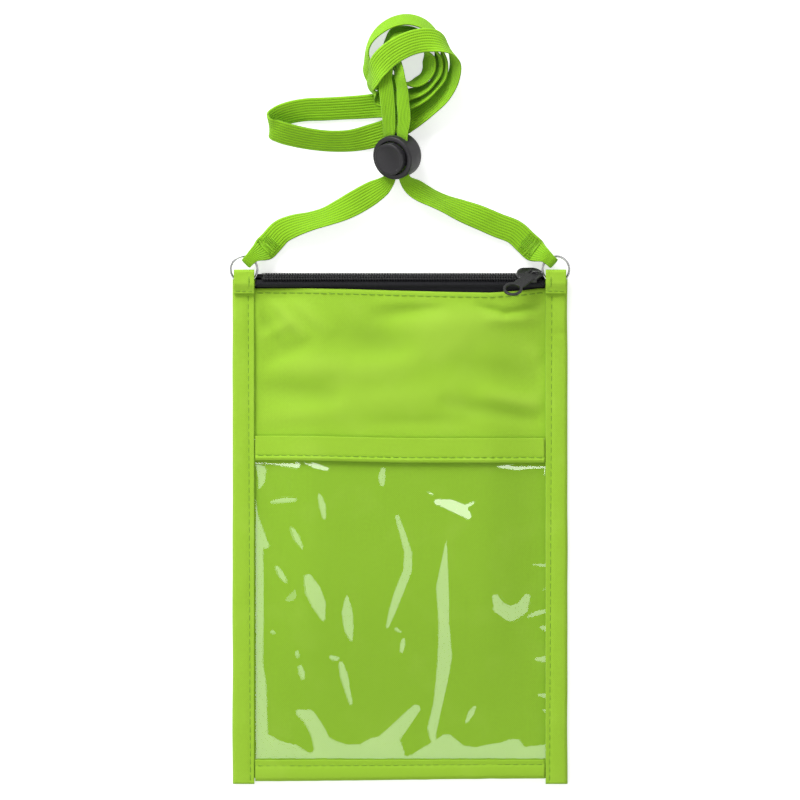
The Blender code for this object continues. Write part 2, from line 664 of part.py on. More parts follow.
def slider():
    """Top plate with its two flanges, bottom plate, the post between them and the crown."""
    frame = chain_frame(SLIDER_REST)
    half = SLIDER_LENGTH / 2
    plate_foot = COIL_HEIGHT + SLIDER_OVER_COIL
    top = plate_foot + SLIDER_PLATE
    body_mesh = box_mesh(
        "slider_body",
        (-half, -SLIDER_HALF_WIDTH, SLIDER_FLANGE_FOOT),
        (half, SLIDER_HALF_WIDTH, top),
        SLIDER_CORNER,
    )
    body = add_object("slider_body", body_mesh, BLACK_METAL, frame)
    channel = SLIDER_HALF_WIDTH - SLIDER_FLANGE
    low = (-half - OVERRUN, -channel, SLIDER_FLANGE_FOOT - OVERRUN)
    high = (half + OVERRUN, channel, plate_foot)
    boolean(body, add_helper("slider_channel", box_mesh("slider_channel", low, high), frame), "DIFFERENCE")
    bottom_top = -COIL_SEAT - ZIP_TAPE - CLEARANCE
    bottom_low = bottom_top - SLIDER_BOTTOM_PLATE
    low = (-half, -SLIDER_BOTTOM_HALF_WIDTH, bottom_low)
    high = (half, SLIDER_BOTTOM_HALF_WIDTH, bottom_top)
    mesh = box_mesh("slider_bottom_plate", low, high, SLIDER_CORNER / 2)
    boolean(body, add_helper("slider_bottom_plate", mesh, frame), "UNION")
    post_end = half - SLIDER_POST_FROM_END
    low = (post_end - SLIDER_POST_LENGTH, -SLIDER_POST_THICKNESS / 2, bottom_top - OVERRUN)
    high = (post_end, SLIDER_POST_THICKNESS / 2, plate_foot + OVERRUN)
    boolean(body, add_helper("slider_post", box_mesh("slider_post", low, high), frame), "UNION")
    inside = top + PULL_LIFT + PULL_BAR_DIAGONAL + PULL_LIFT
    reach = CROWN_OPENING / 2 + CROWN_WIRE
    low = (CROWN_PLACE - reach, -CROWN_WIDTH / 2, top - OVERRUN)
    high = (CROWN_PLACE + reach, CROWN_WIDTH / 2, inside + CROWN_WIRE)
    crown = add_helper("slider_crown", box_mesh("slider_crown", low, high, CROWN_CORNER, False), frame)
    low = (CROWN_PLACE - CROWN_OPENING / 2, -CROWN_WIDTH, top)
    high = (CROWN_PLACE + CROWN_OPENING / 2, CROWN_WIDTH, inside)
    opening = add_helper("crown_opening", box_mesh("crown_opening", low, high), frame)
    boolean(body, crown, "UNION")
    boolean(body, opening, "DIFFERENCE")
    pivot = Vector((CROWN_PLACE, 0.0, top + PULL_LIFT + PULL_BAR_DIAGONAL / 2))
    return body, pivot


def round_points(centre, radius, start, end, count):
    """Points on an arc, from one angle to another."""
    points = []
    for step in range(count + 1):
        angle = start + (end - start) * step / count
        points.append((centre + radius * math.cos(angle), radius * math.sin(angle)))
    return points


def pull(body, pivot):
    """The pull tab: an eye round the crown, a neck and an open end ring."""
    eye = PULL_BAR / 2 + PULL_EYE_LENGTH
    wide = PULL_EYE_HALF_WIDTH + PULL_RIM
    shoulder = eye + PULL_RIM
    meet = math.asin(PULL_NECK / 2 / PULL_RING_RADIUS)
    outline = [(-PULL_BAR / 2, -wide + PULL_RIM), (0.0, -wide), (eye, -wide)]
    outline += [(shoulder, -wide + PULL_RIM), (shoulder + PULL_RIM, -PULL_NECK / 2)]
    outline += round_points(PULL_RING_PLACE, PULL_RING_RADIUS, -math.pi + meet, math.pi - meet, 28)
    outline += [(shoulder + PULL_RIM, PULL_NECK / 2), (shoulder, wide - PULL_RIM)]
    outline += [(eye, wide), (0.0, wide), (-PULL_BAR / 2, wide - PULL_RIM)]
    hole = [
        (PULL_BAR / 2, -PULL_EYE_HALF_WIDTH),
        (PULL_BAR / 2, PULL_EYE_HALF_WIDTH),
        (eye, PULL_EYE_HALF_WIDTH),
        (eye, -PULL_EYE_HALF_WIDTH),
    ]
    ring_hole = round_points(PULL_RING_PLACE, PULL_HOLE_RADIUS, 0.0, math.tau, 24)[:-1]
    item = flat_outline("slider_pull", [outline, hole, ring_hole], PULL_THICKNESS, BLACK_METAL, None)
    item.parent = body
    item.matrix_local = Matrix.Translation(pivot) @ Matrix.Rotation(PULL_TURN, 4, "Z")


def toggle_frame():
    """Local Z out of the cord lock's front, local Y along its cord hole, origin in the hole's middle."""
    out = TOGGLE_AXIS
    way = (TOGGLE_CORD_WAY - out * TOGGLE_CORD_WAY.dot(out)).normalized()
    across = way.cross(out)
    turn = Matrix((across, way, out)).transposed().to_4x4()
    return Matrix.Translation(TOGGLE_PLACE) @ turn


def toggle():
    """The cord lock: a domed barrel, a sprung plunger and the hole through both for the cord."""
    frame = toggle_frame()
    front = BARREL_FRONT_TO_CORD
    profile = [(0.0, front - SPRING_BORE_DEPTH), (SPRING_BORE_RADIUS, front - SPRING_BORE_DEPTH)]
    profile += [(SPRING_BORE_RADIUS, front - BORE_DEPTH), (BORE_RADIUS, front - BORE_DEPTH)]
    profile += [(BORE_RADIUS, front), (BARREL_RADIUS - BARREL_EDGE, front)]
    profile += [(BARREL_RADIUS, front - BARREL_EDGE)]
    for step in range(9):
        angle = math.pi / 2 * step / 8
        height = front - BARREL_STRAIGHT - BARREL_DOME * math.sin(angle)
        profile.append((BARREL_RADIUS * math.cos(angle) if step < 8 else 0.0, height))
    barrel = turned("toggle_barrel", profile, 40, BLACK_PLASTIC, frame)
    half = CORD_SLOT_WIDTH / 2
    length = BARREL_RADIUS + OVERRUN
    low = (-half, -length, -CORD_SLOT_HEIGHT / 2)
    high = (half, length, CORD_SLOT_HEIGHT / 2)
    mesh = box_mesh("cord_hole", low, high, CORD_SLOT_CORNER, False)
    boolean(barrel, add_helper("cord_hole", mesh, frame), "DIFFERENCE")
    face = front + BUTTON_PROUD
    profile = [(0.0, front - BUTTON_END), (BUTTON_RADIUS, front - BUTTON_END)]
    profile += [(BUTTON_RADIUS, face - BUTTON_EDGE), (BUTTON_RADIUS - BUTTON_EDGE, face), (0.0, face)]
    button = turned("toggle_button", profile, 40, BLACK_PLASTIC, frame)
    high = (half, length, CORD_SLOT_HEIGHT / 2 + BUTTON_TRAVEL)
    mesh = box_mesh("plunger_hole", low, high)
    boolean(button, add_helper("plunger_hole", mesh, frame), "DIFFERENCE")
    spring(frame, front)


def spring(frame, front):
    """A conical spring between the plunger and the barrel's floor."""
    curve = bpy.data.curves.new("toggle_spring", "CURVE")
    curve.dimensions = "3D"
    curve.bevel_depth = SPRING_WIRE / 2
    curve.bevel_resolution = 1
    curve.use_fill_caps = True
    top = front - BUTTON_END - CLEARANCE - SPRING_WIRE / 2
    bottom = front - SPRING_BORE_DEPTH + CLEARANCE + SPRING_WIRE / 2
    count = SPRING_TURNS * SPRING_POINTS_PER_TURN
    spline = curve.splines.new("POLY")
    spline.points.add(count)
    for step, point in enumerate(spline.points):
        share = step / count
        angle = math.tau * SPRING_TURNS * share
        radius = SPRING_TOP_RADIUS + (SPRING_BOTTOM_RADIUS - SPRING_TOP_RADIUS) * share
        height = top + (bottom - top) * share
        point.co = (radius * math.cos(angle), radius * math.sin(angle), height, 1.0)
    add_object("toggle_spring", curve, STEEL, frame)


def lanyard_stations():
    """Each route point as its centre, the way its width points and its width, in one row."""
    rows = []
    for x, y, z, bearing, climb, width in LANYARD_ROUTE:
        turn, lift = math.radians(bearing), math.radians(climb)
        way = (math.cos(turn) * math.cos(lift), math.sin(turn) * math.cos(lift), math.sin(lift))
        rows.append((x * MM, y * MM, z * MM, *way, width * MM))
    return np.array(rows)


def smooth_rows(rows, start, end, steps):
    """Rows on a centripetal Catmull-Rom curve through the given rows, between two row numbers."""
    padded = np.vstack([2 * rows[0] - rows[1], rows, 2 * rows[-1] - rows[-2]])
    out = []
    for place in np.linspace(start, end, steps):
        index = min(int(place), len(rows) - 2)
        four = padded[index:index + 4]
        knots = [0.0]
        for before, after in zip(four, four[1:]):
            knots.append(knots[-1] + math.sqrt(np.linalg.norm(after[:3] - before[:3])))
        at = knots[1] + (knots[2] - knots[1]) * (place - index)
        level = list(four)
        for pairs in (((0, 1), (1, 2), (2, 3)), ((0, 2), (1, 3)), ((1, 2),)):
            level = [
                (level[k] * (knots[b] - at) + level[k + 1] * (at - knots[a])) / (knots[b] - knots[a])
                for k, (a, b) in enumerate(pairs)
            ]
        out.append(level[0])
    return np.array(out)


def ribbon_edges(rows):
    """The two edges of a ribbon's middle layer, and its thickness direction, along rows."""
    centres = rows[:, :3]
    along = np.gradient(centres, axis=0)
    along /= np.linalg.norm(along, axis=1)[:, None]
    way = rows[:, 3:6]
    way = way - (way * along).sum(axis=1)[:, None] * along
    way /= np.linalg.norm(way, axis=1)[:, None]
    half = rows[:, 6:7] / 2
    return centres - way * half, centres + way * half, np.cross(along, way)


def ribbon(name, rows, thickness):
    low, high, _ = ribbon_edges(rows)

    def place(index, side):
        return Vector(high[index] if side else low[index])

    sheet(name, range(len(rows)), range(2), place, thickness, GREEN_CORD)


def least_gap(rows, thickness):
    """Smallest distance between points on far stretches of one ribbon's surface."""
    low, high, out = ribbon_edges(rows)
    layers = []
    for share in np.linspace(0, 1, 9):
        middle = low + (high - low) * share
        layers += [middle + out * thickness / 2, middle - out * thickness / 2]
    points = np.stack(layers, axis=1)
    centres = rows[:, :3]
    steps = np.linalg.norm(np.diff(centres, axis=0), axis=1)
    arc = np.concatenate([[0.0], np.cumsum(steps)])
    least = math.inf
    for index, here in enumerate(points):
        far = np.abs(arc - arc[index]) > LANYARD_FAR
        near = np.linalg.norm(centres - centres[index], axis=1) < LANYARD_FAR
        others = points[far & near].reshape(-1, 3)
        if len(others):
            gaps = np.linalg.norm(others[None] - here[:, None], axis=2)
            least = min(least, gaps.min())
    return least


def lanyard_end(name, side, ring_centre, run_start, run_width):
    """The lanyard's end, folded round the ring's wire and sewn down on itself."""
    away = Vector((run_start[0] - ring_centre.x, run_start[1] - ring_centre.y, 0.0))
    reach = away.length - LANYARD_JOIN
    away.normalize()
    across = Vector((away.y, -away.x, 0.0)) * -side
    rows = []
    for distance, height, width, shift in LANYARD_END_ROUTE:
        centre = ring_centre + (away * distance + across * shift) * MM
        rows.append((centre.x, centre.y, ring_centre.z + height * MM, *across, width * MM))
    last = ring_centre + away * reach
    rows.append((last.x, last.y, run_start[2], *across, run_width))
    rows = np.array(rows)
    ribbon(name, smooth_rows(rows, 0, len(rows) - 1, 40), LANYARD_END_THICKNESS)


def lanyard(left_ring, right_ring):
    """Two ends on the rings, two runs to the cord lock and the wound loops beyond it."""
    stations = lanyard_stations()
    last = len(stations) - 1
    share = LANYARD_JOIN / 2 / np.linalg.norm(stations[LEFT_LOCK_ROW + 1, :3] - stations[LEFT_LOCK_ROW, :3])
    spans = {
        "lanyard_left_run": (0, LEFT_LOCK_ROW - share),
        "lanyard_loops": (LEFT_LOCK_ROW + share, RIGHT_LOCK_ROW - share),
        "lanyard_right_run": (RIGHT_LOCK_ROW + share, last),
    }
    for name, (start, end) in spans.items():
        centres = stations[int(start):int(end) + 1, :3]
        length = np.linalg.norm(np.diff(centres, axis=0), axis=1).sum()
        rows = smooth_rows(stations, start, end, int(length / LANYARD_STEP))
        ribbon(name, rows, LANYARD_THICKNESS)
        print(name, "length", round(np.linalg.norm(np.diff(rows[:, :3], axis=0), axis=1).sum(), 4))
        fine_rows = smooth_rows(stations, start, end, int(length / LANYARD_MEASURE_STEP))
        print(name, "least gap to itself", round(least_gap(fine_rows, LANYARD_THICKNESS), 5))
    first, final = stations[0], stations[-1]
    lanyard_end("lanyard_left_end", -1, left_ring, first[:3], first[6])
    lanyard_end("lanyard_right_end", 1, right_ring, final[:3], final[6])


clear_scene()
PARTS = new_collection(NAME)
HELPERS = new_collection("helpers")
GREEN_CLOTH = new_material("green_cloth", (0.37, 0.66, 0.035), 0.75)
CLEAR_VINYL = new_material("clear_vinyl", (0.75, 0.80, 0.72), 0.15)
BLACK_TAPE = new_material("black_tape", (0.020, 0.020, 0.021), 0.85)
BLACK_NYLON = new_material("black_nylon", (0.028, 0.028, 0.030), 0.45)
BLACK_METAL = new_material("black_metal", (0.030, 0.030, 0.032), 0.35, 0.6)
STEEL = new_material("steel", (0.60, 0.60, 0.60), 0.25, 1.0)
BLACK_PLASTIC = new_material("black_plastic", (0.035, 0.034, 0.038), 0.5)
GREEN_CORD = new_material("green_cord", (0.27, 0.60, 0.012), 0.8)

back_panel()
front_panel()
window()
bottom_binding()
side_binding("left_binding", -1)
side_binding("right_binding", 1)
left_ring_centre = tab("left_tab", -1)
right_ring_centre = tab("right_tab", 1)
ring("left_ring", left_ring_centre)
ring("right_ring", right_ring_centre)
zipper_tapes()
coil("zipper_front_coil", -1, 0.0)
coil("zipper_back_coil", 1, 0.5)
slider_body, pull_pivot = slider()
pull(slider_body, pull_pivot)
toggle()
lanyard(left_ring_centre, right_ring_centre)
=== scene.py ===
"""Neck wallet: the visible cloth, clear pocket, zipper, lanyard, cord lock and rings.

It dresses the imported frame, and its pieces ride on the frame's bodies.
"""

import math

import bmesh
import bpy
import numpy as np
from bpy.props import FloatProperty, FloatVectorProperty, IntProperty, PointerProperty
from mathutils import Matrix, Vector, noise


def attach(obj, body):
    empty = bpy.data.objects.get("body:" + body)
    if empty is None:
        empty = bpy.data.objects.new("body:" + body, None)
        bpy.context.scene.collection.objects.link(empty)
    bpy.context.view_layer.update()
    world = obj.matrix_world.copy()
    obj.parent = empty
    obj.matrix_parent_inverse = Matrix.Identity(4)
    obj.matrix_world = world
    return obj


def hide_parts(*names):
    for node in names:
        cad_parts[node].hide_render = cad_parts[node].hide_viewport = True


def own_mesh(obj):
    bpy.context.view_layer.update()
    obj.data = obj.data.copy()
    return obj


bl_info = {
    "name": "Neck wallet",
    "version": (1, 0, 0),
    "blender": (4, 5, 0),
    "location": "3D View > Sidebar > Wallet",
    "description": "Builds a cloth neck wallet with a clear pocket, a zipper and a wound lanyard",
    "category": "Object",
}

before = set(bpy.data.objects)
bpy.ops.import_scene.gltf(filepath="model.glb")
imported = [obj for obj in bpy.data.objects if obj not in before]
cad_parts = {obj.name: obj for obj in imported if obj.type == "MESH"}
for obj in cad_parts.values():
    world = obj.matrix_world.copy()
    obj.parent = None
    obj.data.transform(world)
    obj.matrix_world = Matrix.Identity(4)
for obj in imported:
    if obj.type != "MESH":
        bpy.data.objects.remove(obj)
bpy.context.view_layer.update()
MM = 0.001

# The pouch in metres, as in the part's source. Thicknesses stand by their material's name, and an
# edge or a rim is a distance from the middle line or a place along the pouch
POUCH_WIDTH = 0.127
BOTTOM = -0.10025
TAB_TOP = 0.09475
CLEARANCE = 0.0003
CLOTH = 0.0004
VINYL = 0.00035
BINDING = 0.0005
BINDING_WIDTH = 0.0083
BOTTOM_BINDING_WIDTH = 0.0078
BINDING_LEAF = 0.00285
LEAF_RISE = 0.00075
SIDE_BINDING_DROP = 0.0014
SIDE_BINDING_TOP = TAB_TOP - 0.0025
FRONT_TOP = TAB_TOP - 0.0071
BACK_TOP = TAB_TOP - 0.0030
RIM_LIFT = 0.0008
RISE_START = BOTTOM + 0.160
RISE_END = BOTTOM + 0.180
LIFT_RUN = 0.0040
BINDING_INNER = POUCH_WIDTH / 2 - BINDING_WIDTH
INNER_EDGE = BINDING_INNER - CLEARANCE
BELLY_EDGE = INNER_EDGE - 0.0004
PANEL_EDGE = POUCH_WIDTH / 2 - BINDING - CLEARANCE
PANEL_BOTTOM = BOTTOM + SIDE_BINDING_DROP + BINDING + CLEARANCE
LOW_RIM = BOTTOM + SIDE_BINDING_DROP + BOTTOM_BINDING_WIDTH + CLEARANCE
HEADER_TOP = BOTTOM + 0.1314
HEADER_BOTTOM = HEADER_TOP - 0.0093

# The front cloth: its level at the rim, its rise to the zipper, and how its belly swells
FRONT_LEVEL = 0.0015
FRONT_RISE = 0.0014
BELLY = 0.0035
BELLY_LOSS = 0.0012
BELLY_FLAT = 0.030
BELLY_RUN = 0.080

# Seams, and how far from them cloth and vinyl are held flat
HEM_SEAM = 0.0018
STITCH_LIFT = 0.00016
SEAM_FADE = 0.004
RIM_FADE = 0.006

# A binding's points above LEAF_PARTING are on its front leaf, and their place on the flat cloth is
# moved off the rear leaf's by LEAF_SHIFT
LEAF_PARTING = 0.002
LEAF_SHIFT = 0.02
SLANT_REACH = 0.004

# Tabs and rings
TAB_WIDTH = 0.0078
TAB_LENGTH = 0.0091
TAB_THICKNESS = 0.00045
TAB_SEAM = 0.0030
RING_RADIUS = 0.0055
RING_WIRE = 0.0009
RING_CENTRE = Vector((BINDING_INNER + TAB_WIDTH / 2, TAB_TOP, 0.0056))

# Zipper
CHAIN_Y = TAB_TOP - 0.00323
CHAIN_HEIGHT = 0.0045
CHAIN_TILT = math.radians(50)
COIL_END = POUCH_WIDTH / 2 - 0.0104
COIL_HEIGHT = 0.00115
COIL_SEAT = 0.00025
ZIP_TAPE = 0.0004
ZIP_TAPE_HIDDEN = 0.0052
SLIDER_REST = POUCH_WIDTH / 2 - 0.0144
BACK_TAPE_FOOT = 0.0017

# Slider and pull
PULL_TURN = math.radians(228.7)
SLIDER_LENGTH = 0.0090
SLIDER_WIDTH = 0.0061
PLATE_FOOT = COIL_HEIGHT + CLEARANCE
PLATE_TOP = PLATE_FOOT + 0.00075
PLATE_THICKNESS = 0.00062
FLANGE_WIDTH = 0.0007
UNDER_PLATE_WIDTH = 0.0032
UNDER_PLATE_THICKNESS = 0.0007
POST_LENGTH = 0.0016
POST_WIDTH = 0.0006
CROWN_PLACE = 0.0023
CROWN_HALF_SPAN = 0.00168
CROWN_THICKNESS = 0.0005
PULL_BAR = math.hypot(0.0006, 0.0008)
PULL_GAP = 0.0001
PULL_THICKNESS = 0.0008
PULL_EDGE = 0.00018
PULL_WIDTH = 0.0054
PULL_NECK = 0.0046
PULL_EYE = 0.0027
PULL_EYE_WIDTH = 0.0040
PULL_RING_PLACE = 0.0132
PULL_RING_RADIUS = 0.0037
PULL_HOLE_RADIUS = 0.00265

# Cord lock
LOCK_PLACE = Vector((-0.0014, 0.1376, 0.0096))
LOCK_AXIS = Vector((-0.49, -0.23, 0.84)).normalized()
LOCK_CORD_WAY = Vector((-0.05, 0.965, 0.235))
LOCK_FRONT = 0.0036
LOCK_RADIUS = 0.0085
LOCK_BORE = 0.0064
LOCK_BACK = LOCK_FRONT - 0.0100
LOCK_FOOT_RADIUS = 0.0052
LOCK_FLOOR = LOCK_FRONT - 0.0082
LOCK_DOME = LOCK_FRONT - 0.0070
LOCK_DOME_DEPTH = 0.0052
PLUNGER_RADIUS = 0.0061
PLUNGER_BACK = LOCK_FRONT - 0.0057
PLUNGER_FACE = LOCK_FRONT + 0.0024
PLUNGER_TRAVEL = 0.0022
CORD_HOLE = (0.0055, LOCK_RADIUS + 0.0005, 0.0011)  # half its width, length and height
SPRING_WIRE = 0.00025
SPRING_RADII = (0.0034, 0.0046)
SPRING_TURNS = 3
SPRING_INSET = 0.00055

# Colours of scratches, and of the painted highlight on edges
BLACK_SCRATCH_AND_EDGE_HIGHLIGHT = (0.07, 0.07, 0.075)
ZINC_SCRATCH_AND_EDGE_HIGHLIGHT = (0.20, 0.20, 0.20)
NICKEL_SCRATCH_AND_EDGE_HIGHLIGHT = (0.75, 0.75, 0.74)

# The stage
AMBIENT = 0.44
FLOOR_GLOW = 0.62
VIEW_WIDTH = 0.3032
VIEW_MIDDLE = 0.0453
VIEW_LEVEL = 0.004  # the height at which VIEW_WIDTH is seen
CAMERA_HEIGHT = 6.0

# The lanyard's route, from the left ring's side to the right one, in millimetres: a point on its
# middle, then the bearing and climb of its width in degrees, then the width that shows there
LANYARD_ROUTE = [
    (-48.7, 105.2, 2.6, -43, 0, 9.3),
    (-45.3, 108.9, 2.8, -50, 6, 9.3),
    (-41.0, 111.0, 3.4, -66, 20, 9.3),
    (-34.1, 113.0, 4.2, -75, 38, 9.3),
    (-28.1, 114.8, 4.4, -70, 38, 9.3),
    (-22.0, 117.4, 4.3, -62, 22, 9.3),
    (-16.0, 120.6, 4.6, -60, 5, 9.3),
    (-10.6, 123.8, 5.2, -52, 4, 8.8),
    (-6.3, 126.5, 5.5, -35, 18, 7.2),
    (-3.9, 129.3, 5.9, -10, 28, 5.2),
    (-3.7, 133.1, 7.3, -5, 29, 4.6),
    (-3.9, 137.5, 8.3, -5, 29, 4.6),
    (-4.1, 141.9, 9.4, -5, 29, 4.6),
    (-4.1, 146.4, 10.6, -5, 24, 5.0),
    (-4.2, 151.7, 11.6, -5, 10, 5.2),
    (-4.7, 157.8, 12.3, -6, 0, 5.5),
    (-5.2, 162.7, 12.4, -8, 4, 5.6),
    (-5.7, 168.0, 11.2, -10, 8, 5.5),
    (-5.0, 172.8, 9.6, -15, 58, 7.4),
    (-5.4, 177.4, 6.4, -50, 70, 9.3),
    (-4.2, 181.3, 5.3, -82, 62, 9.3),
    (-2.2, 183.9, 5.0, -85, 57, 9.3),
    (3.2, 184.6, 5.0, -90, 57, 9.3),
    (9.4, 182.3, 5.1, -90, 64, 9.3),
    (13.0, 178.4, 5.1, -90, 78, 9.3),
    (14.5, 174.1, 5.1, 0, 70, 9.3),
    (14.2, 169.5, 5.1, -30, 68, 9.3),
    (12.1, 165.4, 5.1, -90, 70, 9.3),
    (7.9, 162.5, 5.1, -90, 64, 9.3),
    (3.0, 161.0, 5.3, -90, 60, 9.3),
    (-1.6, 159.8, 6.6, -88, 48, 9.3),
    (-5.7, 159.7, 7.2, -85, 40, 9.3),
    (-9.2, 160.9, 7.1, -55, 34, 9.0),
    (-11.0, 164.4, 8.5, -8, 77, 9.2),
    (-9.7, 168.2, 12.0, -10, 56, 9.3),
    (-7.8, 171.9, 13.4, -35, 23, 9.3),
    (-4.6, 175.4, 14.0, -48, 8, 9.3),
    (-0.0, 178.5, 14.3, -58, 2, 9.3),
    (5.3, 180.7, 14.2, -68, 0, 9.3),
    (10.8, 181.5, 13.8, -80, 8, 9.3),
    (15.5, 180.4, 13.0, -85, 34, 9.3),
    (19.1, 177.3, 11.2, -60, 66, 9.3),
    (21.0, 172.9, 9.2, 0, 66, 9.3),
    (20.1, 167.1, 7.2, -22, 58, 9.3),
    (16.7, 161.1, 5.8, -42, 52, 9.3),
    (10.7, 156.0, 4.4, -52, 42, 9.3),
    (4.1, 151.7, 3.0, -64, 26, 9.3),
    (-3.4, 147.8, 1.3, -70, 2, 9.3),
    (-10.6, 145.4, 1.7, -76, -8, 9.3),
    (-18.2, 143.7, 3.0, -85, -26, 9.3),
    (-25.8, 143.4, 3.6, -92, -31, 9.3),
    (-33.4, 144.1, 4.4, -95, -31, 9.3),
    (-40.2, 145.4, 5.8, -92, -30, 9.3),
    (-45.5, 146.9, 6.8, -88, -28, 9.3),
    (-48.7, 148.4, 6.4, -82, -24, 9.3),
    (-49.1, 150.6, 4.6, -80, -26, 9.3),
    (-46.7, 152.5, 3.0, -82, -28, 9.3),
    (-42.1, 154.2, 2.6, -85, -25, 9.3),
    (-36.0, 155.3, 2.5, -88, -22, 9.3),
    (-28.8, 155.6, 2.5, -90, -20, 9.3),
    (-21.3, 156.0, 2.4, -90, -20, 9.3),
    (-14.4, 156.4, 2.1, -90, -14, 9.3),
    (-8.4, 156.9, 1.6, -90, -2, 9.3),
    (-2.7, 156.8, 3.6, -90, 34, 9.3),
    (3.0, 157.5, 4.8, -90, 56, 9.3),
    (7.9, 159.4, 5.1, -90, 63, 9.3),
    (12.7, 162.8, 5.1, -90, 70, 9.3),
    (15.9, 167.4, 5.1, -30, 70, 9.3),
    (16.6, 172.9, 5.1, 0, 72, 9.3),
    (15.6, 178.6, 5.1, -80, 78, 9.3),
    (13.0, 184.1, 5.1, -90, 66, 9.3),
    (8.7, 187.9, 5.1, -90, 63, 9.3),
    (3.0, 189.5, 5.1, -90, 63, 9.3),
    (-2.3, 188.6, 5.1, -90, 63, 9.3),
    (-7.2, 185.8, 5.1, -90, 64, 9.3),
    (-10.9, 181.6, 5.1, -90, 70, 9.3),
    (-12.5, 176.9, 5.1, -60, 80, 9.3),
    (-11.8, 172.3, 4.5, -5, 67, 9.3),
    (-10.0, 168.5, 3.2, 5, 34, 9.2),
    (-7.2, 166.3, 3.4, 45, 32, 9.3),
    (-4.0, 166.0, 3.4, 88, 39, 9.2),
    (-0.9, 165.7, 4.2, 90, 61, 8.8),
    (1.9, 165.3, 4.7, 90, 87, 8.8),
    (5.5, 165.5, 5.1, -90, 68, 9.3),
    (8.9, 167.2, 5.1, -70, 62, 9.3),
    (10.9, 170.3, 5.1, -25, 58, 9.3),
    (11.0, 174.1, 5.1, 5, 58, 9.3),
    (9.6, 177.5, 5.1, -50, 76, 9.3),
    (7.2, 180.5, 5.1, -90, 63, 9.3),
    (3.0, 180.6, 5.1, -90, 64, 9.3),
    (-0.2, 178.7, 5.3, -70, 70, 9.3),
    (-1.6, 175.4, 6.0, -20, 72, 9.0),
    (-0.9, 171.7, 10.0, -8, 70, 7.2),
    (-0.1, 167.6, 12.5, -8, 48, 5.6),
    (0.8, 163.1, 12.6, -8, 28, 5.0),
    (1.2, 157.4, 12.9, -6, 8, 4.9),
    (1.6, 151.7, 13.3, -5, 10, 5.0),
    (1.0, 146.3, 13.2, -5, 26, 4.7),
    (0.9, 141.9, 12.0, -5, 29, 4.6),
    (1.0, 137.8, 10.9, -5, 29, 4.6),
    (1.2, 133.5, 9.9, -5, 29, 4.8),
    (1.6, 129.7, 9.1, 2, 27, 5.0),
    (3.9, 126.8, 7.6, 30, 4, 6.4),
    (7.5, 124.3, 6.4, 48, -26, 8.0),
    (12.1, 121.9, 5.4, 58, -44, 9.3),
    (17.4, 119.5, 4.8, 63, -42, 9.3),
    (23.5, 117.0, 4.3, 66, -26, 9.3),
    (30.3, 114.4, 3.6, 67, -10, 9.3),
    (37.1, 111.5, 2.8, 66, -4, 9.3),
    (43.5, 108.9, 2.6, 52, 0, 9.3),
    (47.7, 105.1, 2.6, 47, 0, 9.3),
]

# A lanyard end, from its sewn-down tail round the ring's wire: distance from the ring's middle,
# height above the ring's wire, width and shift off the line to the run, in millimetres
LANYARD_END_ROUTE = [
    (14.0, -4.6, 9.3, 0.0),
    (11.0, -4.6, 9.3, 0.0),
    (8.8, -3.6, 7.6, -0.4),
    (7.2, -2.1, 6.0, -0.9),
    (5.9, -1.35, 5.0, -1.1),
    (4.4, -1.25, 4.5, -1.1),
    (3.45, -1.25, 4.4, -1.1),
    (2.57, -0.88, 4.4, -1.1),
    (2.2, 0.0, 4.4, -1.1),
    (2.57, 0.88, 4.4, -1.1),
    (3.45, 1.25, 4.4, -1.1),
    (4.4, 1.25, 4.5, -1.1),
    (5.9, 1.2, 5.0, -1.1),
    (7.2, 0.7, 6.0, -0.9),
    (8.8, -0.7, 7.6, -0.4),
    (11.0, -2.5, 9.3, 0.0),
]


# ---------------------------------------------------------------- settings


def colour(name, description, default):
    """A colour that a user can change."""
    return FloatVectorProperty(
        name=name, description=description, default=default, min=0.0, max=1.0, subtype="COLOR"
    )


def length(name, description, default, least):
    """A length that a user can change."""
    return FloatProperty(
        name=name, description=description, default=default, min=least, unit="LENGTH"
    )


class WalletSettings(bpy.types.PropertyGroup):
    cloth_colour: colour("Cloth colour", "The pouch's woven nylon", (0.37, 0.66, 0.035))
    lanyard_colour: colour("Lanyard colour", "The knitted lanyard tape", (0.285, 0.625, 0.010))
    thread_colour: colour("Thread colour", "The sewing thread", (0.19, 0.39, 0.018))
    tack_colour: colour("Tack colour", "The lanyard's tacking thread", (0.30, 0.64, 0.012))
    zip_colour: colour("Zipper colour", "The zipper's tape", (0.008, 0.008, 0.010))
    lock_colour: colour("Cord lock colour", "The moulded cord lock", (0.013, 0.012, 0.014))
    weave_pitch: length("Weave pitch", "Between the cloth's threads", 0.0004, 0.0001)
    stitch_pitch: length("Stitch pitch", "Between a seam's needle holes", 0.0030, 0.001)
    thread_width: length("Thread width", "Thickness of the sewing thread", 0.00027, 0.0001)
    tooth_pitch: length("Tooth pitch", "Between loops of the zipper's coil", 0.0010, 0.0005)
    lanyard_thickness: length("Lanyard thickness", "Of the knitted tape", 0.0012, 0.0004)
    lanyard_ribs: IntProperty(
        name="Lanyard ribs", description="Lengthwise ribs across the tape", default=9, min=3
    )
    cloth_step: length("Cloth grid", "Grid spacing of the cloth surfaces", 0.0008, 0.0003)


def settings():
    return bpy.context.scene.neck_wallet


# ---------------------------------------------------------------- node helpers


def feed(tree, made, sockets):
    """Set or link a node's inputs, given by name or number."""
    for key, value in sockets.items():
        if isinstance(value, bpy.types.NodeSocket):
            tree.links.new(value, made.inputs[key])
        else:
            made.inputs[key].default_value = value


def node(tree, kind, sockets=(), **values):
    """Add a node, set its properties and feed its inputs."""
    made = tree.nodes.new(kind)
    for key, value in values.items():
        setattr(made, key, value)
    feed(tree, made, dict(sockets))
    return made


def sums(tree, operation, first, second=0.0, third=0.0):
    """One Math node's output."""
    made = node(tree, "ShaderNodeMath", {0: first, 1: second, 2: third}, operation=operation)
    return made.outputs[0]


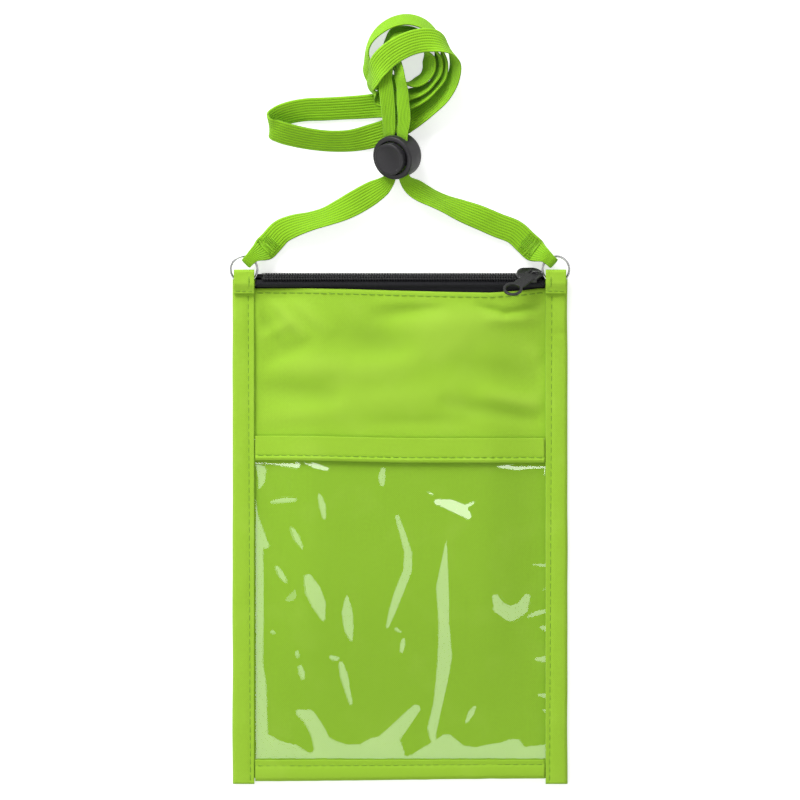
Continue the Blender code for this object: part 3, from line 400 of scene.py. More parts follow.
def mix_colours(tree, factor, first, second):
    """One colour mixed into another."""
    made = node(tree, "ShaderNodeMix", {0: factor, 6: first, 7: second}, data_type="RGBA")
    return made.outputs[2]


def remap(tree, value, low, high, new_low, new_high):
    """A value carried from one range to another, and held inside it."""
    ends = {"From Min": low, "From Max": high, "To Min": new_low, "To Max": new_high}
    return node(tree, "ShaderNodeMapRange", {"Value": value, **ends}).outputs["Result"]


def noise_of(tree, vector, scale, detail=2.0, roughness=0.5):
    """Even noise, from 0 to 1."""
    sockets = {"Vector": vector, "Scale": scale, "Detail": detail, "Roughness": roughness}
    return node(tree, "ShaderNodeTexNoise", sockets).outputs["Fac"]


def new_group(name, inputs, outputs):
    """An empty shader node group with the named sockets; returns it with its two end nodes."""
    tree = bpy.data.node_groups.new(name, "ShaderNodeTree")
    for label, kind, value in inputs:
        socket = tree.interface.new_socket(label, in_out="INPUT", socket_type=kind)
        if value is not None:
            socket.default_value = value
    for label, kind in outputs:
        tree.interface.new_socket(label, in_out="OUTPUT", socket_type=kind)
    return tree, tree.nodes.new("NodeGroupInput"), tree.nodes.new("NodeGroupOutput")


def weave_group():
    """Plain weave: threads over and under each other, with uneven yarn."""
    if "Plain weave" in bpy.data.node_groups:
        return bpy.data.node_groups["Plain weave"]
    floats = "NodeSocketFloat"
    tree, start, end = new_group(
        "Plain weave",
        [("Vector", "NodeSocketVector", None), ("Pitch", floats, 0.0004), ("Slub", floats, 0.5)],
        [("Height", floats), ("Thread", floats)],
    )
    turns = sums(tree, "DIVIDE", math.pi, start.outputs["Pitch"])
    sockets = {0: start.outputs["Vector"], "Scale": turns}
    scaled = node(tree, "ShaderNodeVectorMath", sockets, operation="SCALE")
    parts = node(tree, "ShaderNodeSeparateXYZ", {0: scaled.outputs[0]})
    warp = sums(tree, "SINE", parts.outputs[0])
    weft = sums(tree, "SINE", parts.outputs[1])
    cross = sums(tree, "MULTIPLY", warp, weft)
    height = sums(tree, "MULTIPLY_ADD", cross, 0.5, 0.5)
    yarn = noise_of(tree, start.outputs["Vector"], 900.0, 1.0)
    uneven = sums(tree, "SUBTRACT", yarn, 0.5)
    thread = sums(tree, "MULTIPLY_ADD", uneven, start.outputs["Slub"], height)
    feed(tree, end, {"Height": height, "Thread": thread})
    return tree


def knit_group():
    """Knitted tape: rows of slanted stitches along each rib, holes in the grooves between ribs."""
    if "Knitted tape" in bpy.data.node_groups:
        return bpy.data.node_groups["Knitted tape"]
    floats = "NodeSocketFloat"
    tree, start, end = new_group(
        "Knitted tape",
        [
            ("Across", floats, 0.0),
            ("Along", floats, 0.0),
            ("Ribs", floats, 9.0),
            ("Stitch", floats, 0.00085),
        ],
        [("Height", floats), ("Groove", floats), ("Hole", floats)],
    )
    ribs = sums(tree, "MULTIPLY", start.outputs["Across"], start.outputs["Ribs"])
    place = sums(tree, "FRACT", ribs)
    fold = sums(tree, "ABSOLUTE", sums(tree, "SUBTRACT", place, 0.5))
    groove = remap(tree, fold, 0.30, 0.5, 0.0, 1.0)
    rows = sums(tree, "DIVIDE", start.outputs["Along"], start.outputs["Stitch"])
    slant = sums(tree, "MULTIPLY_ADD", fold, 0.9, rows)
    stitch = sums(tree, "SINE", sums(tree, "MULTIPLY", slant, math.tau))
    stitch_height = sums(tree, "MULTIPLY_ADD", stitch, 0.5, 0.5)
    shift = sums(tree, "MULTIPLY", sums(tree, "FLOOR", sums(tree, "ADD", ribs, 0.5)), 0.37)
    holes = sums(tree, "SINE", sums(tree, "MULTIPLY", sums(tree, "ADD", rows, shift), math.tau))
    dots = remap(tree, holes, 0.1, 0.9, 0.0, 1.0)
    hole = sums(tree, "MULTIPLY", dots, groove)
    round_rib = sums(tree, "SUBTRACT", 1.0, sums(tree, "MULTIPLY", groove, 0.8))
    height = sums(tree, "MULTIPLY_ADD", stitch_height, 0.35, round_rib)
    height = sums(tree, "SUBTRACT", height, sums(tree, "MULTIPLY", hole, 0.4))
    feed(tree, end, {"Height": height, "Groove": groove, "Hole": hole})
    return tree


def wear_group():
    """Handling marks on hard pieces: fine speckle, rubbed patches and hairline scratches."""
    if "Handling marks" in bpy.data.node_groups:
        return bpy.data.node_groups["Handling marks"]
    floats = "NodeSocketFloat"
    tree, start, end = new_group(
        "Handling marks",
        [("Vector", "NodeSocketVector", None), ("Grain", floats, 3500.0)],
        [("Speckle", floats), ("Rubbed", floats), ("Scratch", floats)],
    )
    vector = start.outputs["Vector"]
    speckle = noise_of(tree, vector, start.outputs["Grain"])
    rubbed = remap(tree, noise_of(tree, vector, 260.0, 4.0, 0.65), 0.45, 0.72, 0.0, 1.0)
    stretched = node(tree, "ShaderNodeMapping", {"Vector": vector, "Scale": (900.0, 90.0, 500.0)})
    lines = noise_of(tree, stretched.outputs[0], 6.0, 3.0, 0.7)
    scratch = remap(tree, lines, 0.66, 0.74, 0.0, 1.0)
    feed(tree, end, {"Speckle": speckle, "Rubbed": rubbed, "Scratch": scratch})
    return tree


def new_material(name):
    """A node material; returns it with its tree and shader."""
    made = bpy.data.materials.new(name)
    made.use_nodes = True
    tree = made.node_tree
    return made, tree, tree.nodes["Principled BSDF"]


def group_node(tree, group, sockets):
    """A node of a shader node group; returns its outputs."""
    made = tree.nodes.new("ShaderNodeGroup")
    made.node_tree = group
    feed(tree, made, sockets)
    return made.outputs


def bump(tree, shader, height, distance, strength=1.0):
    """Feed a shader's normal from a height."""
    sockets = {"Height": height, "Distance": distance, "Strength": strength}
    feed(tree, shader, {"Normal": node(tree, "ShaderNodeBump", sockets).outputs[0]})


def shade(tone, factor=1.0):
    """A colour made darker or paler, with an alpha of 1."""
    return (*[part * factor for part in tone], 1.0)


# ---------------------------------------------------------------- finishes


def cloth_material():
    """Matt woven nylon: plain weave, faint streaks along the yarn and softly rubbed places, with
    painted shade in the front cloth's fold hollows and a painted highlight on its fold crests.
    """
    if "Green woven nylon" in bpy.data.materials:
        return bpy.data.materials["Green woven nylon"]
    made, tree, shader = new_material("Green woven nylon")
    tone = settings().cloth_colour
    where = node(tree, "ShaderNodeUVMap", uv_map="Metres").outputs[0]
    sockets = {"Vector": where, "Pitch": settings().weave_pitch, "Slub": 0.6}
    weave = group_node(tree, weave_group(), sockets)
    streaks = node(tree, "ShaderNodeMapping", {"Vector": where, "Scale": (2600.0, 60.0, 1.0)})
    streak = noise_of(tree, streaks.outputs[0], 1.0, 2.0)
    patches = noise_of(tree, where, 70.0, 3.0)
    thread = remap(tree, weave["Thread"], 0.0, 1.0, 0.0, 1.0)
    base = mix_colours(tree, thread, shade(tone, 0.88), shade(tone, 1.08))
    base = mix_colours(tree, sums(tree, "MULTIPLY", streak, 0.30), base, shade(tone, 0.82))
    worn = remap(tree, patches, 0.52, 0.75, 0.0, 0.30)
    paler = (tone[0] * 1.12 + 0.02, tone[1] * 1.06, tone[2] * 1.5 + 0.01, 1.0)
    base = mix_colours(tree, worn, base, paler)
    # Painted shade and highlight: the front cloth's Fold attribute darkens the colour in fold
    # hollows and pales it on fold crests; paler is also the rubbed places' tone
    fold = node(tree, "ShaderNodeAttribute", attribute_name="Fold").outputs["Fac"]
    base = mix_colours(tree, remap(tree, fold, 0.0, -1.0, 0.0, 0.30), base, shade(tone, 0.55))
    base = mix_colours(tree, remap(tree, fold, 0.0, 1.0, 0.0, 0.45), base, paler)
    rough = remap(tree, patches, 0.2, 0.8, 0.86, 0.70)
    feed(tree, shader, {"Base Color": base, "Roughness": rough, "Specular IOR Level": 0.28})
    feed(tree, shader, {"Sheen Weight": 0.12, "Sheen Roughness": 0.5})
    fine = sums(tree, "MULTIPLY_ADD", noise_of(tree, where, 420.0, 2.0), 0.5, weave["Height"])
    bump(tree, shader, fine, 0.00005, 0.55)
    return made


def thread_material(name, tone):
    """Twisted sewing thread."""
    if name in bpy.data.materials:
        return bpy.data.materials[name]
    made, tree, shader = new_material(name)
    where = node(tree, "ShaderNodeTexCoord").outputs["Object"]
    sockets = {"Vector": where, "Scale": 1400.0, "Distortion": 1.5}
    twist = node(tree, "ShaderNodeTexWave", sockets, bands_direction="DIAGONAL").outputs["Fac"]
    base = mix_colours(tree, twist, shade(tone, 0.6), shade(tone, 1.25))
    feed(tree, shader, {"Base Color": base, "Roughness": remap(tree, twist, 0.0, 1.0, 0.75, 0.5)})
    bump(tree, shader, twist, 0.00004)
    return made


def lanyard_material():
    """Knitted tape with lengthwise ribs, and painted shade in the grooves between the ribs and in
    the knit's holes.
    """
    if "Knitted green tape" in bpy.data.materials:
        return bpy.data.materials["Knitted green tape"]
    made, tree, shader = new_material("Knitted green tape")
    tone = settings().lanyard_colour
    where = node(tree, "ShaderNodeUVMap", uv_map="Metres").outputs[0]
    parts = node(tree, "ShaderNodeSeparateXYZ", {0: where})
    sockets = {"Across": parts.outputs[0], "Along": parts.outputs[1], "Stitch": 0.0007}
    knit = group_node(tree, knit_group(), {**sockets, "Ribs": float(settings().lanyard_ribs)})
    solid = node(tree, "ShaderNodeTexCoord").outputs["Object"]
    patches = noise_of(tree, solid, 140.0, 3.0)
    fibre = noise_of(tree, solid, 2600.0, 2.0)
    lit = mix_colours(tree, fibre, shade(tone, 0.88), shade(tone, 1.14))
    lit = mix_colours(tree, remap(tree, patches, 0.4, 0.7, 0.0, 0.35), lit, shade(tone, 0.82))
    # Painted shade: darker in the grooves between the ribs, near black in the knit's holes
    lit = mix_colours(tree, sums(tree, "MULTIPLY", knit["Groove"], 0.45), lit, shade(tone, 0.45))
    lit = mix_colours(tree, sums(tree, "MULTIPLY", knit["Hole"], 0.90), lit, shade(tone, 0.18))
    feed(tree, shader, {"Base Color": lit, "Roughness": remap(tree, fibre, 0.0, 1.0, 0.72, 0.9)})
    feed(tree, shader, {"Specular IOR Level": 0.3, "Sheen Weight": 0.15})
    height = sums(tree, "MULTIPLY_ADD", fibre, 0.15, knit["Height"])
    bump(tree, shader, height, 0.00016, 0.8)
    return made


def part_clear(tree, share, shader, clear):
    """Let a material's share of rays pass through a transparent shader instead."""
    both = node(tree, "ShaderNodeMixShader", {0: share, 1: shader.outputs[0], 2: clear.outputs[0]})
    feed(tree, tree.nodes["Material Output"], {"Surface": both.outputs[0]})


def vinyl_material():
    """Clear flexible sheet: glossy, faintly scuffed, and open to the light of the cloth below."""
    if "Clear vinyl" in bpy.data.materials:
        return bpy.data.materials["Clear vinyl"]
    made, tree, shader = new_material("Clear vinyl")
    feed(tree, shader, {"Transmission Weight": 1.0, "Roughness": 0.0, "IOR": 1.54})
    where = node(tree, "ShaderNodeUVMap", uv_map="Metres").outputs[0]
    stretched = node(tree, "ShaderNodeMapping", {"Vector": where, "Scale": (420.0, 26.0, 1.0)})
    lines = noise_of(tree, stretched.outputs[0], 1.0, 4.0, 0.7)
    scuffs = remap(tree, lines, 0.58, 0.80, 0.0, 1.0)
    tint = mix_colours(tree, scuffs, (0.97, 0.985, 0.96, 1.0), (0.86, 0.90, 0.84, 1.0))
    puckers = node(tree, "ShaderNodeAttribute", attribute_name="Pucker")
    plain = node(tree, "ShaderNodeNewGeometry").outputs["Normal"]
    sockets = {0: plain, 1: puckers.outputs["Vector"]}
    tilted = node(tree, "ShaderNodeVectorMath", sockets, operation="ADD").outputs[0]
    facing = node(tree, "ShaderNodeVectorMath", {0: tilted}, operation="NORMALIZE").outputs[0]
    waves = noise_of(tree, where, 90.0, 1.0)
    fine = node(tree, "ShaderNodeBump", {"Height": waves, "Distance": 0.00003, "Normal": facing})
    feed(tree, shader, {"Base Color": tint, "Normal": fine.outputs[0]})
    path = node(tree, "ShaderNodeLightPath")
    through = sums(tree, "MAXIMUM", path.outputs["Is Shadow Ray"], path.outputs["Is Diffuse Ray"])
    through = sums(tree, "MAXIMUM", through, path.outputs["Is Glossy Ray"])
    clear = node(tree, "ShaderNodeBsdfTransparent", {"Color": (0.95, 0.965, 0.94, 1.0)})
    part_clear(tree, through, shader, clear)
    return made


def zip_tape_material():
    """Black woven zipper tape with a fine rib along it."""
    if "Black zipper tape" in bpy.data.materials:
        return bpy.data.materials["Black zipper tape"]
    made, tree, shader = new_material("Black zipper tape")
    tone = settings().zip_colour
    where = node(tree, "ShaderNodeUVMap", uv_map="Metres").outputs[0]
    weave = group_node(tree, weave_group(), {"Vector": where, "Pitch": 0.00042, "Slub": 0.8})
    base = mix_colours(tree, weave["Thread"], shade(tone, 0.65), shade(tone, 1.5))
    lint = remap(tree, noise_of(tree, where, 700.0, 3.0), 0.62, 0.8, 0.0, 0.25)
    base = mix_colours(tree, lint, base, (0.06, 0.06, 0.065, 1.0))
    rough = remap(tree, weave["Thread"], 0.0, 1.0, 0.9, 0.75)
    feed(tree, shader, {"Base Color": base, "Roughness": rough, "Specular IOR Level": 0.25})
    bump(tree, shader, weave["Height"], 0.00006)
    return made


def moulded_material(name, tone, edge, roughness, metallic=0.0):
    """Dark moulded or cast finish with handling marks, paler scratches and a painted highlight on
    its edges.
    """
    if name in bpy.data.materials:
        return bpy.data.materials[name]
    made, tree, shader = new_material(name)
    where = node(tree, "ShaderNodeTexCoord").outputs["Object"]
    marks = group_node(tree, wear_group(), {"Vector": where})
    speckle = marks["Speckle"]
    base = mix_colours(tree, speckle, shade(tone, 0.85), shade(tone, 1.2))
    base = mix_colours(tree, sums(tree, "MULTIPLY", marks["Scratch"], 0.35), base, shade(edge))
    # Painted highlight: convex edges, found by their pointiness, are paled towards the edge colour
    point = node(tree, "ShaderNodeNewGeometry").outputs["Pointiness"]
    edges = remap(tree, point, 0.52, 0.60, 0.0, 0.6)
    base = mix_colours(tree, edges, base, shade(edge))
    rough = sums(tree, "MULTIPLY_ADD", marks["Rubbed"], -0.12, roughness)
    feed(tree, shader, {"Base Color": base, "Roughness": rough})
    feed(tree, shader, {"Metallic": metallic, "Specular IOR Level": 0.3})
    bump(tree, shader, speckle, 0.00002, 0.6)
    return made


def coil_material():
    return moulded_material("Black coil nylon", (0.013, 0.013, 0.015), BLACK_SCRATCH_AND_EDGE_HIGHLIGHT, 0.36)


def enamel_material():
    return moulded_material("Black enamelled zinc", (0.014, 0.014, 0.015), ZINC_SCRATCH_AND_EDGE_HIGHLIGHT, 0.30, 0.2)


def lock_material():
    return moulded_material("Black moulded plastic", settings().lock_colour, BLACK_SCRATCH_AND_EDGE_HIGHLIGHT, 0.48)


def wire_material():
    return moulded_material("Nickel-plated wire", (0.34, 0.34, 0.34), NICKEL_SCRATCH_AND_EDGE_HIGHLIGHT, 0.26, 1.0)


# ---------------------------------------------------------------- mesh helpers


def add_object(name, data):
    item = bpy.data.objects.new(name, data)
    bpy.context.scene.collection.objects.link(item)
    return item


def mesh_from(bm, name):
    """The mesh of a bmesh, which is freed."""
    mesh = bpy.data.meshes.new(name)
    bm.to_mesh(mesh)
    bm.free()
    return mesh


def final_mesh(item):
    """A copy of an object's mesh as its modifiers or curve settings leave it."""
    bpy.context.view_layer.update()
    graph = bpy.context.evaluated_depsgraph_get()
    return bpy.data.meshes.new_from_object(item.evaluated_get(graph))


def shade_by_angle(mesh, degrees):
    mesh.shade_smooth()
    mesh.set_sharp_from_angle(angle=math.radians(degrees))


def link(name, data, material, body, replaced=()):
    """Make an object, put it on its body and let it stand for CAD nodes."""
    item = add_object(name, data)
    if material:
        data.materials.append(material)
    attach(item, body)
    if replaced:
        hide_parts(*replaced)
    return item


def surface_mesh(name, points, closed_across=False, uvs=None):
    """A smooth grid of quads through an array of points, rows by columns, with UVs in metres."""
    rows, columns = points.shape[:2]
    count = columns if closed_across else columns - 1
    index = np.arange(rows * columns).reshape(rows, columns)
    faces = []
    for column in range(count):
        right = (column + 1) % columns
        corners = (index[:-1, column], index[:-1, right], index[1:, right], index[1:, column])
        faces.append(np.stack(corners, axis=1))
    faces = np.stack(faces, axis=1).reshape(-1, 4)
    mesh = bpy.data.meshes.new(name)
    mesh.from_pydata(points.reshape(-1, 3).tolist(), [], faces.tolist())
    if uvs is not None:
        layer = mesh.uv_layers.new(name="Metres")
        flat = uvs.reshape(-1, 2)
        values = flat[faces.reshape(-1)]
        if closed_across:
            wrapped = values.reshape(-1, 4, 2)
            last = np.arange(len(wrapped)) % count == count - 1
            wrapped[last, 1:3, 0] = wrapped[last, 0:1, 0]
            values = wrapped.reshape(-1, 2)
        layer.data.foreach_set("uv", values.reshape(-1).astype(np.float32))
    mesh.polygons.foreach_set("use_smooth", [True] * len(mesh.polygons))
    mesh.update()
    return mesh


def sheet(name, points, uvs, thickness, replaced, material=None, finish="green_cloth"):
    """A cloth or vinyl layer of the pouch: a grid thickened both ways."""
    mesh = surface_mesh(name, points, uvs=uvs)
    item = link(name, mesh, material or cloth_material(), "pouch", [replaced])
    solid = item.modifiers.new("Thickness", "SOLIDIFY")
    solid.thickness = thickness
    solid.offset = 0.0
    return item


def flat_sheet(name, x, y, z, *rest):
    """A layer that lies over its own flat shape."""
    return sheet(name, np.stack([x, y, z], axis=2), np.stack([x, y], axis=2), *rest)


def turned(name, profile, steps, transform, material, finish, body, replaced):
    """A turned piece: a profile of radius and height swept round a frame's Z."""
    bm = bmesh.new()
    verts = [bm.verts.new((radius, 0.0, height)) for radius, height in profile]
    for first, second in zip(verts, verts[1:]):
        bm.edges.new((first, second))
    geometry = bm.verts[:] + bm.edges[:]
    bmesh.ops.spin(bm, geom=geometry, cent=(0, 0, 0), axis=(0, 0, 1), angle=math.tau, steps=steps)
    bmesh.ops.remove_doubles(bm, verts=bm.verts[:], dist=0.000002)
    bmesh.ops.recalc_face_normals(bm, faces=bm.faces[:])
    bm.transform(transform)
    mesh = mesh_from(bm, name)
    shade_by_angle(mesh, 40)
    return link(name, mesh, material, body, replaced)


def box_into(bm, low, high, corner, segments=3):
    """Add a box between two corners to a bmesh, its edges rounded."""
    made = bmesh.ops.create_cube(bm, size=1.0)["verts"]
    for vert in made:
        share = vert.co + Vector((0.5, 0.5, 0.5))
        vert.co = Vector([a + (b - a) * s for a, b, s in zip(low, high, share)])
    own = set(made)
    edges = [edge for edge in bm.edges if edge.verts[0] in own]
    bmesh.ops.bevel(bm, geom=edges, offset=corner, segments=segments, profile=0.5, affect="EDGES")


def tube_points(path, radius, sides):
    """Vertices and faces of a closed round tube along a path of points."""
    path = np.array(path, dtype=float)
    along = np.gradient(path, axis=0)
    along /= np.linalg.norm(along, axis=1)[:, None]
    up = np.array((0.0, 0.0, 1.0)) if abs(along[0][2]) < 0.9 else np.array((1.0, 0.0, 0.0))
    rings = []
    for centre, way in zip(path, along):
        side = np.cross(way, up)
        side /= np.linalg.norm(side)
        up = np.cross(side, way)
        angles = (np.arange(sides) * math.tau / sides)[:, None]
        rings.append(centre + radius * (np.cos(angles) * side + np.sin(angles) * up))
    verts = np.concatenate(rings)
    faces = []
    for ring in range(len(path) - 1):
        for step in range(sides):
            first, second = ring * sides + step, ring * sides + (step + 1) % sides
            faces.append((first, second, second + sides, first + sides))
    faces.append(tuple(range(sides))[::-1])
    faces.append(tuple(range(len(verts) - sides, len(verts))))
    return verts, faces


def tubes(name, lines, material, body, replaced=()):
    """Several round tubes in one piece, each given as its path, radius and number of sides."""
    verts, faces, start = [], [], 0
    for path, radius, sides in lines:
        some, more = tube_points(path, radius, sides)
        verts.append(some)
        faces += [tuple(corner + start for corner in face) for face in more]
        start += len(some)
    mesh = bpy.data.meshes.new(name)
    mesh.from_pydata(np.concatenate(verts).tolist(), [], faces)
    mesh.shade_smooth()
    return link(name, mesh, material, body, replaced)


def lengths_along(points):
    """How far along a line of points each one lies."""
    steps = np.linalg.norm(np.diff(points, axis=0), axis=1)
    return np.concatenate([[0.0], np.cumsum(steps)])


def stitches(name, x, y, z, lift=STITCH_LIFT, pitch=None):
    """A row of sewn stitches along a line: each arcs over the cloth and dips into its holes."""
    line = np.stack(np.broadcast_arrays(x, y, z), axis=1).astype(float)
    arc = lengths_along(line)
    count = max(1, int(arc[-1] / (pitch or settings().stitch_pitch)))
    pitch = arc[-1] / count
    thread = thread_material("Sewing thread", settings().thread_colour)
    lines = []
    for number in range(count):
        places = (number + np.array([0.10, 0.16, 0.30, 0.50, 0.70, 0.84, 0.90])) * pitch
        path = np.stack([np.interp(places, arc, line[:, k]) for k in range(3)], axis=1)
        path[:, 2] += lift * np.array([-2.2, -0.4, 0.55, 0.75, 0.55, -0.4, -2.2])
        jitter = noise.noise(Vector((number * 1.7, arc[-1] * 50, 0.3))) * 0.00006
        path[:, :2] += jitter
        lines.append((path, settings().thread_width / 2, 6))
    tubes(name, lines, thread, "pouch")


# ---------------------------------------------------------------- the pouch's shape


def smooth_share(value, start, end):
    share = np.clip((value - start) / (end - start), 0.0, 1.0)
    return share * share * (3 - 2 * share)


def front_bottom(x, y):
    """Height of the front cloth's underside."""
    rise = smooth_share(y, RISE_START, RISE_END)
    across = 1 - smooth_share(np.abs(x), BELLY_FLAT, BELLY_EDGE)
    along = smooth_share(y, LOW_RIM, BOTTOM + BELLY_RUN)
    return FRONT_LEVEL + FRONT_RISE * rise + (BELLY - BELLY_LOSS * rise) * across * along


def back_bottom(x, y):
    """Height of the back cloth's underside: flat on the ground, lifted into the bindings."""
    side = smooth_share(np.abs(x), BELLY_EDGE - LIFT_RUN, BELLY_EDGE)
    low = 1 - smooth_share(y, LOW_RIM, LOW_RIM + LIFT_RUN)
    high = smooth_share(y, RISE_END - LIFT_RUN, RISE_END)
    return RIM_LIFT * np.maximum(np.maximum(side, low), high)


def leaf_bottom(y):
    """Height of the underside of a side binding's front leaf."""
    return BINDING_LEAF + LEAF_RISE * smooth_share(y, RISE_START, RISE_END)


# Soft folds of the cloth above the clear pocket, in millimetres: two ends, half width, height
FOLDS = [
    (-47.0, 82.0, -37.0, 70.0, 2.6, 1.10),
    (-53.0, 78.0, -46.0, 66.0, 2.4, -0.89),
    (-41.0, 83.0, -28.0, 72.0, 3.0, 0.79),
    (-52.0, 69.0, -42.0, 74.0, 2.6, 0.69),
    (-50.0, 60.0, -36.0, 67.0, 3.4, -0.74),
    (-8.0, 78.0, 14.0, 81.0, 3.4, -0.89),
    (-6.0, 84.0, 20.0, 85.0, 2.4, 0.53),
    (30.0, 82.5, 40.0, 79.0, 1.8, -1.05),
    (40.0, 79.0, 54.0, 81.0, 1.8, -1.10),
    (34.0, 76.5, 54.0, 76.0, 2.4, 0.69),
    (-20.0, 70.0, 8.0, 62.0, 6.5, -1.10),
    (2.0, 72.0, 34.0, 76.0, 7.0, 1.21),
    (-12.0, 56.0, 22.0, 66.0, 6.0, 1.10),
    (-44.0, 58.0, -18.0, 57.0, 5.0, 0.89),
    (-54.0, 50.0, -26.0, 47.0, 4.5, -0.89),
    (24.0, 58.0, 52.0, 54.0, 5.0, -0.79),
    (34.0, 47.0, 54.0, 42.5, 3.4, 1.05),
    (18.0, 44.0, 52.0, 38.0, 3.4, -0.89),
    (-20.0, 44.0, 12.0, 46.0, 5.5, 0.58),
    (-50.0, 38.0, -24.0, 41.0, 4.0, 0.53),
    (-10.0, 36.0, 24.0, 37.0, 3.2, -0.53),
    (50.0, 64.0, 55.0, 60.0, 2.6, 0.62),
]


# The fold height at which the painted shade and highlight of the front cloth's folds are full
FULL_FOLD_PAINT = 0.0011  # the height at which a fold's shading is full


def fold_height(x, y):
    """Soft folds of the front cloth above the pocket, dying out at its seams."""
    total = np.zeros_like(x)
    for x1, y1, x2, y2, width, height in FOLDS:
        start, way = np.array((x1, y1)) * MM, np.array((x2 - x1, y2 - y1)) * MM
        share = ((x - start[0]) * way[0] + (y - start[1]) * way[1]) / (way @ way)
        held = np.clip(share, 0.0, 1.0)
        far = np.hypot(x - start[0] - held * way[0], y - start[1] - held * way[1]) / (width * MM)
        taper = 0.55 + 0.45 * np.sin(math.pi * held)
        total += height * MM * taper * np.exp(-far ** 2)
    fade = smooth_share(y, HEADER_TOP - 0.001, HEADER_TOP + 0.008)
    fade = fade * (1 - smooth_share(y, FRONT_TOP - 0.007, FRONT_TOP - 0.001))
    fade = fade * (1 - smooth_share(np.abs(x), INNER_EDGE - 0.004, INNER_EDGE + 0.0005))
    return total * fade


def ripple(x, y, size, height):
    """Seeded unevenness of a few millimetres' size."""
    flat = [noise.noise(Vector((a / size, b / size, 1.7))) for a, b in zip(x.ravel(), y.ravel())]
    return height * np.array(flat).reshape(x.shape)


def lines_between(low, high, step, extra=()):
    """Even grid lines from one end to the other, with chosen lines added."""
    count = max(2, int(round((high - low) / step)) + 1)
    lines = list(np.linspace(low, high, count))
    lines += [line for line in extra if low < line < high]
    return np.array(sorted(lines))


def seam_dent(distance, along, depth=0.00016, spread=0.0006):
    """The groove that a seam pulls into cloth, deepest at the needle holes."""
    holes = 0.6 + 0.4 * np.cos(math.tau * along / settings().stitch_pitch)
    return -depth * holes * np.exp(-(distance / spread) ** 2)


# ---------------------------------------------------------------- lanyard


def route_row(x, y, z, bearing, climb, width):
    """A route point as its centre, the way its width points and its width."""
    turn, lift = math.radians(bearing), math.radians(climb)
    way = (math.cos(turn) * math.cos(lift), math.sin(turn) * math.cos(lift), math.sin(lift))
    return (x * MM, y * MM, z * MM, *way, width * MM)


def end_rows(side, run_start):
    """The rows of one lanyard end, from its tail round the ring's wire towards the run."""
    centre = Vector((side * RING_CENTRE.x, RING_CENTRE.y, RING_CENTRE.z))
    away = Vector((run_start[0] - centre.x, run_start[1] - centre.y, 0.0)).normalized()
    across = Vector((away.y, -away.x, 0.0)) * -side
    rows = []
    for distance, height, width, shift in LANYARD_END_ROUTE:
        place = centre + (away * distance + across * shift) * MM
        way = -side * across
        rows.append((place.x, place.y, centre.z + height * MM, *way, width * MM))
    return rows


def smooth_rows(rows, start, end, steps):
    """Rows on a centripetal Catmull-Rom curve through the given rows, between two row numbers."""
    rows = np.array(rows)
    padded = np.vstack([2 * rows[0] - rows[1], rows, 2 * rows[-1] - rows[-2]])
    out = []
    for place in np.linspace(start, end, steps):
        index = min(int(place), len(rows) - 2)
        four = padded[index:index + 4]
        knots = [0.0]
        for before, after in zip(four, four[1:]):
            knots.append(knots[-1] + math.sqrt(np.linalg.norm(after[:3] - before[:3])))
        at = knots[1] + (knots[2] - knots[1]) * (place - index)
        level = list(four)
        for pairs in (((0, 1), (1, 2), (2, 3)), ((0, 2), (1, 3)), ((1, 2),)):
            mixed = []
            for k, (a, b) in enumerate(pairs):
                gone, left = at - knots[a], knots[b] - at
                mixed.append((level[k] * left + level[k + 1] * gone) / (knots[b] - knots[a]))
            level = mixed
        out.append(level[0])
    return np.array(out)


def evenly(rows, step):
    """The same rows at an even spacing along their middle line."""
    arc = lengths_along(rows[:, :3])
    places = np.linspace(0.0, arc[-1], int(arc[-1] / step) + 1)
    even = [np.interp(places, arc, rows[:, k]) for k in range(rows.shape[1])]
    return np.stack(even, axis=1), places


def lanyard_rows():
    """The whole lanyard, from one sewn-down tail to the other."""
    run = [route_row(*row) for row in LANYARD_ROUTE]
    left = end_rows(-1, run[0])
    right = end_rows(1, run[-1])
    rows = left + run + right[::-1]
    coarse = smooth_rows(rows, 0, len(rows) - 1, len(rows) * 14)
    return evenly(coarse, 0.0006)


def ribbon_frame(rows):
    """Unit directions across and out of a ribbon along its rows."""
    along = np.gradient(rows[:, :3], axis=0)
    along /= np.linalg.norm(along, axis=1)[:, None]
    way = rows[:, 3:6] - (rows[:, 3:6] * along).sum(axis=1)[:, None] * along
    way /= np.linalg.norm(way, axis=1)[:, None]
    return way, np.cross(along, way)


